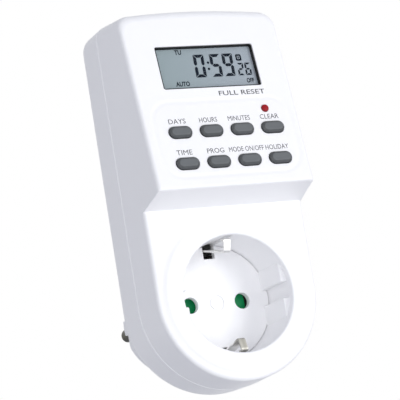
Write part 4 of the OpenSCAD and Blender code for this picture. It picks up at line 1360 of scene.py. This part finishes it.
@dataclass
class RearCover:
    """White rear moulding with the round plinth, the plug body and the screw wells."""

    back: float = 4.2
    back_r: float = 8.4
    draft: float = 0.15
    plinth_r: float = 24.4
    plinth_edge: float = 0.9
    plug_r: float = 18.4
    plug_edge: float = 1.2
    plug_len: float = 17.3
    plug_wall: float = 2.4
    hollow: Triple = (26.4, 21, 3)
    pin_hole: Place = (2.45, 2.1)
    flat_x: float = 16.8
    rib: float = 4.8
    flat_span: float = 19.2
    flat_depth: float = 4.0
    flat_edge: float = 0.3
    groove_half: float = 2.1
    groove_edge: float = 0.25
    strip_half: float = 0.45
    well_r: float = 3.0
    well_mouth: float = 3.4
    well_depth: float = 11.5
    well_wall: float = 3.9
    well_bore: Place = (1.65, 26.0)
    power_post: Triple = (2.4, 5.0, 12.0)
    power_hole: Triple = (CASE.pilot_r, 7.5, 13.0)
    lip: tuple[Place, ...] = ((20, 3.45), (26, 3.45), (26, 2.25), (23.9, 2.25), (23.9, 1.7), (20, 1.7))

    @staticmethod
    def ring(depth: float, inset: float) -> list[Vector]:
        """Case outline at a depth, drawn in by an inset.

        Args:
            depth: The depth.
            inset: The inset.

        Returns:
            The ring's points.
        """
        half = CASE.half_w - inset
        outline = arc((0, 0), half, 180, 360, 56) + crown(half, CASE.top - inset)
        return [Vector((x, -depth, z)) for x, z in outline]

    def form(self, skin: float) -> Solid:
        """Body of the cover with its round back edge.

        Args:
            skin: How far it is drawn in; 0 gives the outside.

        Returns:
            The solid.
        """
        radius = self.back_r - skin
        if skin:
            rings = [(CASE.seam + 1, skin)]
        else:
            rings = [(CASE.seam - 0.01, CASE.seam_chamfer), (CASE.seam - CASE.seam_chamfer, 0)]
        for angle in (math.radians(7.5 * i) for i in range(13)):
            rings.append((self.back + skin + radius * (1 - math.sin(angle)),
                          skin + self.draft + radius * (1 - math.cos(angle))))
        return Solid.lofted([self.ring(*ring) for ring in rings])

    def plug(self) -> list[Solid]:
        """Plinth and plug body with rounded edges.

        Returns:
            The two solids.
        """
        start, edge = self.back + 1.2, self.plinth_edge
        rim = [(self.plinth_r - inset, edge - climb) for inset, climb in fillet(edge, 5)]
        plinth = Solid.turned([(0, start), (self.plinth_r, start), *rim, (0, 0)], 128)
        edge = self.plug_edge
        end = [(self.plug_r - inset, edge - self.plug_len - climb) for inset, climb in fillet(edge, 6)]
        body = Solid.turned([(0, 1), (self.plug_r, 1), *end, (0, -self.plug_len)], 128)
        return [plinth.moved(FRONT), body.moved(FRONT)]

    def fittings(self) -> list[Solid]:
        """Screw wells, board posts and the lip that enters the front cover.

        Returns:
            The solids that are added.
        """
        made = []
        wide, slim = self.well_wall, self.well_r
        well = [(0, 5), (wide, 5), (wide, 14), (slim, 14.01), (slim, CASE.seam), (0, CASE.seam)]
        for s in SIDES:
            for z in CASE.screw_zs:
                made.append(Solid.turned(well, 40).moved(facing(s * CASE.screw_x, z)))
            for z in CASE.power_post_zs:
                made.append(Solid.rod(*self.power_post).moved(facing(s * CASE.power_post_x, z)))
        made.append(Solid.lofted([self.ring(depth, inset) for depth, inset in self.lip], ring_shut=True))
        return made

    def cuts(self) -> list[Solid]:
        """Tools for the plug's hollow, its guide flats and grooves, the pins and the screws.

        Returns:
            The tools.
        """
        end, half = -self.plug_len, self.groove_half
        wide, slim = self.pin_hole
        hole = [(0, end - 1), (wide, end - 1), (wide, end), (slim, end + wide - slim),
                (slim, end + 4), (0, end + 4)]
        bore, through = self.well_bore
        well = [(0, -1), (self.well_mouth, -1), (self.well_mouth, self.back), (self.well_r, self.back + 0.4),
                (self.well_r, self.well_depth), (bore, self.well_depth + 0.01), (bore, through),
                (0, through)]
        low, high = CASE.strip_z - self.strip_half, CASE.strip_z + self.strip_half
        tools = [Solid.prism(lambda grow: rounded(*self.hollow), end + self.plug_wall, 2).moved(FRONT)]
        for s in SIDES:
            tools.append(Solid.turned(hole, 40).moved(facing(s * CASE.pin_x)))
            outer = half, self.plug_len + 1, s * (self.plug_r + 1)
            tools.append(Solid.block((-half, 0.01, s * low), outer, self.groove_edge))
            tools.append(Solid.block((-half, -3, s * low), (half, 1, s * high)))
            for sz in SIDES:
                inner = s * self.flat_x, 2, sz * self.rib / 2
                outer = s * (self.flat_x + self.flat_depth), self.plug_len + 2, sz * self.flat_span / 2
                tools.append(Solid.block(inner, outer, self.flat_edge))
            for z in CASE.screw_zs:
                tools.append(Solid.turned(well, 40).moved(facing(s * CASE.screw_x, z)))
            for z in CASE.power_post_zs:
                tools.append(Solid.rod(*self.power_hole, 24).moved(facing(s * CASE.power_post_x, z)))
        return tools

    def build(self) -> None:
        """Builds and publishes the cover."""
        shell = self.form(0)
        shell.joined(Join.ADD, *self.plug())
        room = Solid.rod(self.plinth_r - 2, 2, 7, 96).moved(FRONT)
        shell.joined(Join.CUT, self.form(CASE.wall), room)
        shell.joined(Join.ADD, *self.fittings())
        shell.joined(Join.CUT, *self.cuts())
        shell.piece("rear_cover_shell", WHITE, stands_for=["rear_cover"])


# ---------------- keys and display


def words(text: str, height: float, width: float, centre: Point, slant: float = 0.0,
          weight: float = 0.0) -> Solid:
    """Line of lettering as a thin solid on the panel's plane.

    Args:
        text: What it says.
        height: Height of its capitals.
        width: Length of the line.
        centre: Middle of the line.
        slant: Sideways lean per millimetre of height.
        weight: Thickening of the strokes against the font's.

    Returns:
        The lettering.
    """
    curve = bpy.data.curves.new("words", "FONT")
    curve.body = text
    curve.size = 1.0
    curve.offset = weight
    curve.extrude = 0.004
    curve.resolution_u = 3
    holder = linked("words", curve)
    graph = bpy.context.evaluated_depsgraph_get()
    made = Solid()
    mesh = bpy.data.meshes.new_from_object(holder.evaluated_get(graph))
    made.bm.from_mesh(mesh)
    bpy.data.objects.remove(holder)
    bpy.data.curves.remove(curve)
    bpy.data.meshes.remove(mesh)
    xs, ys = [[v.co[i] for v in made.bm.verts] for i in (0, 1)]
    middle = Vector(((min(xs) + max(xs)) / 2, (min(ys) + max(ys)) / 2, 0))
    size = Matrix.Diagonal((width / (max(xs) - min(xs)), height / (max(ys) - min(ys)), 2.0, 1))
    return made.moved(Matrix.Translation((*centre, 0)) @ leaning(slant) @ size @ Matrix.Translation(-middle))


@dataclass
class Keypad:
    """Eight key caps, the reset button and the words printed beside them."""

    centre_x: float = 0.95
    pitch_x: float = 11.15
    pitch_v: float = 11.0
    low_v: float = 9.3
    length: float = 8.0
    width: float = 4.0
    rise: float = 1.2
    chamfer: float = 0.8
    chamfer_rise: float = 0.6
    gap: float = 0.18
    stem: float = 3.0
    stem_end: float = -5.5
    flange: float = 0.8
    flange_ends: Place = (-3.3, -2.31)
    reset_x: float = 16.6
    reset_v: float = 27.2
    reset_r: float = 1.2
    reset_gap: float = 0.1
    reset_rise: float = 0.7
    word_shift: Place = (-0.3, 3.95)
    word_height: float = 1.7
    reset_word_width: float = 16.8
    reset_word_place: Place = (9.7, 33.45)
    ink_n: float = 0.012
    words: dict[str, tuple[str, float]] = field(default_factory=lambda: {
        "key_day": ("DAYS", 6.1), "key_hour": ("HOURS", 6.4), "key_minute": ("MINUTES", 8.0),
        "key_clear": ("CLEAR", 6.8), "key_time": ("TIME", 5.6), "key_program": ("PROG", 6.1),
        "key_mode": ("MODE ON/OFF", 12.6), "key_random": ("HOLIDAY", 8.4)})

    @property
    def places(self) -> dict[str, Place]:
        """Place of each key on the panel, the upper row first.

        Returns:
            The places by node.
        """
        columns = [self.centre_x + (i - 1.5) * self.pitch_x for i in range(4)]
        spots = [(x, v) for v in (self.low_v + self.pitch_v, self.low_v) for x in columns]
        return dict(zip(self.words, spots))

    def cap(self) -> Solid:
        """Key cap: stem, flange, body and a chamfer that rounds into a slightly hollow top.

        Returns:
            The cap, about the origin.
        """
        shoulder, (low, high) = self.rise - self.chamfer_rise, self.flange_ends
        stem = self.stem, self.stem
        wide = self.length + 2 * self.flange, self.width + 2 * self.flange
        steps = [(self.stem_end, *stem), (low, *stem), (low, *wide), (high, *wide)]
        top = [(high, 0.0), (shoulder - 0.1, 0.0), (shoulder, 0.03), (shoulder + 0.08, 0.1),
               (self.rise - 0.05, self.chamfer), (self.rise - 0.02, self.chamfer + 0.08),
               (self.rise, self.chamfer + 0.25), (self.rise - 0.04, self.chamfer + 0.9)]
        steps += [(n, self.length - 2 * inset, self.width - 2 * inset) for n, inset in top]
        return Solid.lofted([level(rounded_ends(length, width), n) for n, length, width in steps])

    def button(self) -> Solid:
        """Reset button with a softly domed end.

        Returns:
            The button, about the origin.
        """
        r, top, low = self.reset_r, self.reset_rise, self.flange_ends[0]
        foot = [(0, self.stem_end), (1, self.stem_end), (1, low), (r + 0.9, low), (r + 0.9, low + 1),
                (r, low + 1)]
        dome = [(r, top - 0.35), (r - 0.05, top - 0.2), (r - 0.2, top - 0.08), (r - 0.5, top - 0.02),
                (0, top)]
        return Solid.turned(foot + dome, 40)

    def lettering(self) -> Solid:
        """Words over the keys and the reset button, printed on the panel.

        Returns:
            The lettering in its place.
        """
        ink = Solid()
        across, up = self.word_shift
        for name, (x, v) in self.places.items():
            text, width = self.words[name]
            ink.absorb(words(text, self.word_height, width, (x + across, v + up)))
        ink.absorb(words("FULL RESET", self.word_height, self.reset_word_width, self.reset_word_place,
                         weight=0.008))
        return ink.moved(on_panel(0, 0, self.ink_n))

    def build(self) -> None:
        """Builds and publishes the keys, the button and the lettering."""
        for name, place in self.places.items():
            cap = self.cap().moved(on_panel(*place))
            cap.piece(f"{name}_cap", FINISHES["key_grey"], BODY_OF[name], [name])
        button = self.button().moved(on_panel(self.reset_x, self.reset_v))
        button.piece("reset_cap", FINISHES["red_button"], BODY_OF["reset_button"], ["reset_button"])
        self.lettering().piece("panel_words", INK, slot="key_grey")


class Segment(Enum):
    """Bars of a seven-segment digit: middle in shares of width and height, and whether it lies flat."""

    TOP = (0.0, 1.0, True)
    UPPER_LEFT = (-1.0, 0.5, False)
    UPPER_RIGHT = (1.0, 0.5, False)
    MIDDLE = (0.0, 0.0, True)
    LOWER_LEFT = (-1.0, -0.5, False)
    LOWER_RIGHT = (1.0, -0.5, False)
    BOTTOM = (0.0, -1.0, True)


INK_T = 0.03
UNLIT: dict[str, tuple[Segment, ...]] = {
    "0": (Segment.MIDDLE,),
    "2": (Segment.UPPER_LEFT, Segment.LOWER_RIGHT),
    "5": (Segment.UPPER_RIGHT, Segment.LOWER_LEFT),
    "6": (Segment.UPPER_RIGHT,),
    "9": (Segment.LOWER_LEFT,),
}


def patch(points: Iterable[Point]) -> Solid:
    """Thin patch of display ink with an outline."""
    outline = [Vector(p) for p in points]
    return Solid.lofted([level(outline, n) for n in (0, INK_T)])


@dataclass(frozen=True)
class Figures:
    """Row of seven-segment digits of one size, each with the side place of its middle."""

    shown: tuple[tuple[str, float], ...]
    v: float
    width: float
    height: float
    bar: float
    gap: float = 0.12

    def outline(self, segment: Segment) -> list[Place]:
        """Outline of one bar with mitred corners, about the digit's middle.

        Args:
            segment: The bar.

        Returns:
            The outline's points.
        """
        across, up, flat = segment.value
        half_w, half_h, b = (self.width - self.bar) / 2, (self.height - self.bar) / 2, self.bar / 2
        x, y = across * half_w, up * half_h
        reach = (half_w if flat else half_h / 2) - self.gap
        out = b if (up if flat else across) >= 0 else -b
        corners = (up != 0, up != 0) if flat else (up < 0, up > 0)
        ends = [[(side * (reach - b), -out), (side * (reach + b), out)] if corner else
                [(side * (reach - b), -out), (side * reach, 0), (side * (reach - b), out)]
                for side, corner in zip(SIDES, corners)]
        return [(x + (p if flat else q), y + (q if flat else p)) for p, q in ends[0] + ends[1][::-1]]

    def digits(self, slant: float) -> list[Solid]:
        """Lit bars of each digit.

        Args:
            slant: Sideways lean per millimetre of height.

        Returns:
            A solid for each digit.
        """
        made = []
        for figure, x in self.shown:
            digit = Solid()
            for segment in Segment:
                if segment not in UNLIT[figure]:
                    digit.absorb(patch(self.outline(segment)))
            made.append(digit.moved(Matrix.Translation((x, self.v, 0)) @ leaning(slant)))
        return made


@dataclass
class Display:
    """Glass, pane and what the liquid crystal shows behind the window."""

    width: float = 34.8
    height: float = 14.6
    v: float = 43.5
    rim: float = 0.3
    corner_r: float = 0.3
    fit: float = 0.06
    glass_n: float = -1.6
    pane_t: float = 0.6
    back_n: float = -3.5
    margin: float = 1.6
    glass_t: float = 2.2
    slant: float = 0.06
    figures: tuple[Figures, ...] = (Figures((("0", -2.3), ("5", 3.65), ("9", 8.2)), 44.35, 3.85, 8.3, 1.1),
                                    Figures((("2", 12.35), ("6", 15.05)), 42.55, 2.25, 4.55, 0.66))
    dots: tuple[Place, ...] = ((0.8, 43.15), (1.0, 45.45))
    dot_r: float = 0.45
    icon: Place = (12.5, 46.85)
    icon_frames: tuple[Triple, ...] = ((2.1, 2.4, 0.6), (0.5, 0.9, 0.2))
    marks: tuple[tuple[str, float, Place], ...] = (
        ("OFF", 2.7, (14.85, 38.35)), ("TU", 2.5, (-9.05, 49.6)), ("AUTO", 5.0, (-9.9, 38.15)))
    mark_height: float = 1.75
    mark_weight: float = 0.035

    @staticmethod
    def box(width: float, height: float, bar: float) -> Solid:
        """Hollow box of display ink with round corners.

        Args:
            width: Its width.
            height: Its height.
            bar: Thickness of its sides.

        Returns:
            The box, about the origin.
        """
        steps = ((0, 0), (0, INK_T), (bar, INK_T), (bar, 0))
        rings = [level(rounded(width - 2 * g, height - 2 * g, 0.5 - g), n) for g, n in steps]
        return Solid.lofted(rings, ring_shut=True)

    def glass(self) -> Solid:
        """Display glass, its raised middle filling the frame up to the pane.

        Returns:
            The glass, about the window's middle.
        """
        spare = 2 * self.margin
        slab = Solid.prism(lambda grow: rounded(self.width + spare, self.height + spare, 0.1),
                           self.back_n - self.glass_t, self.back_n)
        middle = Solid.prism(self.inner, self.back_n - 0.1, self.glass_n)
        return slab.joined(Join.ADD, middle)

    def inner(self, grow: float) -> list[Vector]:
        """Outline that fits inside the frame, grown by a distance."""
        spare = 2 * grow - self.fit
        return rounded(self.width + spare, self.height + spare, self.corner_r)

    def shown(self) -> Solid:
        """Everything that the display shows: digits, dots, icon and marks.

        Returns:
            The shapes on the panel's plane.
        """
        ink = Solid()
        digits = [digit for row in self.figures for digit in row.digits(self.slant)]
        dots = [patch(arc(dot, self.dot_r, 0, 337.5, 15)) for dot in self.dots]
        icon = [self.box(*sizes).moved(Matrix.Translation((*self.icon, 0))) for sizes in self.icon_frames]
        marks = [words(text, self.mark_height, width, centre, self.slant, self.mark_weight)
                 for text, width, centre in self.marks]
        for shape in digits + dots + icon + marks:
            ink.absorb(shape)
        return ink

    def build(self) -> None:
        """Builds and publishes the glass, the pane and what the display shows."""
        seat, low = on_panel(0, self.v), self.glass_n + 0.08
        pane = Solid.prism(self.inner, low, low + self.pane_t, edge=0.1)
        self.glass().moved(seat).piece("display_crystal_glass", FINISHES["display_glass"],
                                       stands_for=["lcd_glass"])
        pane.moved(seat).piece("display_pane", FINISHES["clear_lens"], stands_for=["display_lens"])
        shown = self.shown().moved(on_panel(0, 0, self.glass_n + 0.006))
        shown.piece("display_figures", SEGMENTS, slot="display_glass")
        dress_node("display_bezel")


# ---------------- metalwork


@dataclass
class Metalwork:
    """Sprung earth clips and the two plug pins."""

    strip_w: float = 3.7
    nose_w: float = 2.5
    strip_t: float = 0.7
    strip_edge: float = 0.14
    strip_start: float = -15.3
    joggle: Place = (9.0, 13.0)
    root: Place = (21.0, 18.0)
    peak: Place = (35.5, 14.45)
    lead_in: Place = (37.0, 18.5)
    strip_end: Place = (34.9, 18.65)
    narrowing: Place = (0.655, 0.71)
    link_ys: Place = (-4.05, -3.35)
    pin_r: float = 2.4
    pin_len: float = 19.0
    pin_root: float = 17.3
    pin_tip_r: float = 1.6
    shank_r: float = 2.0
    collar: Triple = (3.2, 13.9, 14.8)

    def strip_path(self) -> list[tuple[Vector, float]]:
        """Depth and height along the upper strip's middle plane, each with half the strip's width there.

        Returns:
            The path from the plug's end to the nose.
        """
        root, peak = Vector(self.root), Vector(self.peak)
        wide, slim = self.strip_w / 2, self.nose_w / 2
        start = (Vector((self.strip_start, CASE.strip_z)), wide)
        end = (Vector(self.strip_end), slim)
        before, after = (root.lerp(peak, share) for share in self.narrowing)
        out, back = self.joggle
        bends = [(Vector((out, CASE.strip_z)), wide, 2.0), (Vector((back, root.y)), wide, 2.0),
                 (root, wide, 2.5), (before, wide, 0.1), (after, slim, 0.1),
                 (peak, slim, 0.75), (Vector(self.lead_in), slim, 0.9)]
        corners = [start[0], *(bend[0] for bend in bends), end[0]]
        path = [start]
        for last, (corner, half, cut), following in zip(corners, bends, corners[2:]):
            enter = corner + (last - corner).normalized() * cut
            leave = corner + (following - corner).normalized() * cut
            path += [(enter.lerp(corner, t).lerp(corner.lerp(leave, t), t), half)
                     for t in (0, 0.17, 0.33, 0.5, 0.67, 0.83, 1)]
        return path + [end]

    def strip(self) -> Solid:
        """Upper earth strip, its edges broken and its sprung nose narrower than the rest.

        Returns:
            The strip in its place.
        """
        path = self.strip_path()
        rings = []
        for i, (point, half) in enumerate(path):
            run = (path[min(i + 1, len(path) - 1)][0] - path[max(i - 1, 0)][0]).normalized()
            side = Vector((-run.y, run.x))
            section = rounded(2 * half, self.strip_t, self.strip_edge, 2)
            rings.append([Vector((p.x, -(point.x + side.x * p.y), point.y + side.y * p.y)) for p in section])
        return Solid.lofted(rings)

    def bracket(self) -> Solid:
        """Both strips and the bar that links them behind the socket.

        Returns:
            The bracket in its place.
        """
        strip = self.strip()
        lower = strip.twin(Matrix.Diagonal((1, 1, -1, 1)))
        half, (low, high) = self.strip_w / 2, self.link_ys
        link = Solid.block((-half, low, -CASE.strip_z), (half, high, CASE.strip_z), 0.12)
        return strip.joined(Join.ADD, lower, link)

    def pin(self, side: int) -> Solid:
        """Plug pin: shank, collar inside the plug body, and a round-ended contact.

        Args:
            side: -1 for the left pin, 1 for the right one.

        Returns:
            The pin in its place.
        """
        r, root, end = self.pin_r, self.pin_root, self.pin_root + self.pin_len
        shank, (collar, low, high) = self.shank_r, self.collar
        tip = [(r - inset, end - self.pin_tip_r + climb) for inset, climb in fillet(self.pin_tip_r, 7)]
        profile = [(0, -2), (shank, -2), (shank, low), (collar, low), (collar, high), (shank, high),
                   (shank, root + 0.02), (r - 0.15, root + 0.02), (r, root + 0.17), *tip, (0, end)]
        return Solid.turned(profile, 48).moved(Matrix.Translation((side * CASE.pin_x, 0, 0)) @ BACK)

    def build(self) -> None:
        """Builds and publishes the metalwork."""
        self.bracket().piece("earth_clips", CLIP_METAL, stands_for=["earth_bracket"])
        for name, side in (("plug_pin_left", -1), ("plug_pin_right", 1)):
            self.pin(side).piece(f"{name}_metal", PIN_METAL, stands_for=[name])


@dataclass
class Shutter:
    """Green shutter: a disc on a stud, with a sunken face and a notch for each pin."""

    radius: float = 12.3
    front: float = 19.2
    thick: float = 3.0
    sink: float = 2.1
    hub_r: float = 4.2
    bore_r: float = 2.15
    notch_r: float = 3.0
    notch_half: float = 2.8
    turn: float = 38.0

    def build(self) -> None:
        """Builds and publishes the shutter in its closed place."""
        back, face, front = self.front - self.thick, self.front - self.sink, self.front
        profile = [(self.bore_r, back), (self.radius, back), (self.radius, face), (self.hub_r, face),
                   (self.hub_r - 0.2, front), (self.bore_r, front)]
        disc = Solid.turned(profile, 96, ring=True).moved(FRONT)
        for s in SIDES:
            x = s * CASE.pin_x
            notch = Solid.rod(self.notch_r, back - 1, front + 1, 48).moved(facing(x))
            way_out = Solid.block((x, -front - 1, -self.notch_half),
                                  (s * (self.radius + 1), 1 - back, self.notch_half))
            disc.joined(Join.CUT, notch, way_out)
        disc.moved(Matrix.Rotation(math.radians(-self.turn), 4, "Y"))
        disc.piece("shutter_disc", FINISHES["green_shutter"], BODY_OF["shutter"], ["shutter"])


@dataclass
class InnerWorks:
    """Everything inside the case that keeps its CAD shape."""

    done: tuple[str, ...] = ()

    def build(self) -> None:
        """Dresses each CAD node that nothing stands for."""
        for node, made in frame["nodes"].items():
            if not made.hide_render and node not in self.done:
                dress_node(node)


# ---------------- studio


@dataclass(frozen=True)
class Lamp:
    """Soft rectangular lamp that is aimed at the object."""

    name: str
    place: Triple
    power: float
    size: Place = (1.0, 2.0)
    aim: Triple = (0.0, -0.03, 0.03)

    def build(self) -> None:
        """Hangs the lamp."""
        light = bpy.data.lights.new(self.name, "AREA")
        light.shape = "RECTANGLE"
        light.size, light.size_y = self.size
        light.energy = self.power
        holder = linked(self.name, light)
        holder.location = self.place
        way = Vector(self.aim) - holder.location
        holder.rotation_euler = way.to_track_quat("-Z", "Y").to_euler()


@dataclass
class Studio:
    """Camera, pale floor and plain soft light."""

    eye: Triple = (-0.3033, -0.65717, -0.09569)
    turn: Triple = (100.67506, 9.14584, -23.80012)
    lens: float = 192.2136
    sensor: float = 36.0
    clip: Place = (0.02, 20.0)
    floor_z: float = -0.8
    floor_half: float = 2.5
    ambient: Colour = (0.392, 0.404, 0.462)
    lamps: tuple[Lamp, ...] = (Lamp("left_lamp", (-0.9, -1.8, -0.3), 15.6),
                               Lamp("right_lamp", (1.15, -1.7, -0.1), 21.2))

    def camera(self) -> None:
        """Sets the camera."""
        camera = bpy.data.cameras.new("camera")
        camera.lens = self.lens
        camera.sensor_width = self.sensor
        camera.clip_start, camera.clip_end = self.clip
        holder = linked("camera", camera)
        holder.location = self.eye
        holder.rotation_euler = Euler([math.radians(a) for a in self.turn], "XYZ")
        bpy.context.scene.camera = holder

    def world(self) -> None:
        """Plain white surroundings for the eye and for reflections, softer for the light they give."""
        world = bpy.data.worlds.new("surroundings")
        world.use_nodes = True
        bpy.context.scene.world = world
        graph = Graph(world.node_tree)
        world.node_tree.nodes.clear()
        path = graph.node("LightPath").outputs
        mirrored_eye = graph.calc("MAXIMUM", path["Is Camera Ray"], path["Is Glossy Ray"])
        seen = graph.calc("MAXIMUM", mirrored_eye, path["Is Transmission Ray"])
        colour = graph.mixed(seen, (*self.ambient, 1), (1, 1, 1, 1))
        shade = graph.node("Background", {"Color": colour, "Strength": 1.0})
        graph.node("OutputWorld", {"Surface": shade.outputs[0]})

    def floor(self) -> None:
        """Pale floor below the object."""
        bm = bmesh.new()
        bmesh.ops.create_grid(bm, x_segments=4, y_segments=4, size=self.floor_half,
                              matrix=Matrix.Translation((0, 0, self.floor_z)))
        mesh = bpy.data.meshes.new("floor")
        bm.to_mesh(mesh)
        bm.free()
        made = linked("floor", mesh)
        mesh.materials.append(PAPER.material())

    def build(self) -> None:
        """Sets up camera, surroundings, lamps and floor."""
        self.camera()
        self.world()
        for lamp in self.lamps:
            lamp.build()
        self.floor()
        bpy.context.scene.view_settings.view_transform = "Standard"


def main() -> None:
    """Builds the whole object, sub-assembly by sub-assembly."""
    logging.basicConfig(level=logging.INFO, format="%(name)s: %(message)s")
    Studio().build()
    keypad, display = Keypad(), Display()
    FrontCover().build(keypad, display)
    RearCover().build()
    keypad.build()
    display.build()
    Metalwork().build()
    Shutter().build()
    InnerWorks(("display_bezel",)).build()


if __name__ == "__main__":
    main()
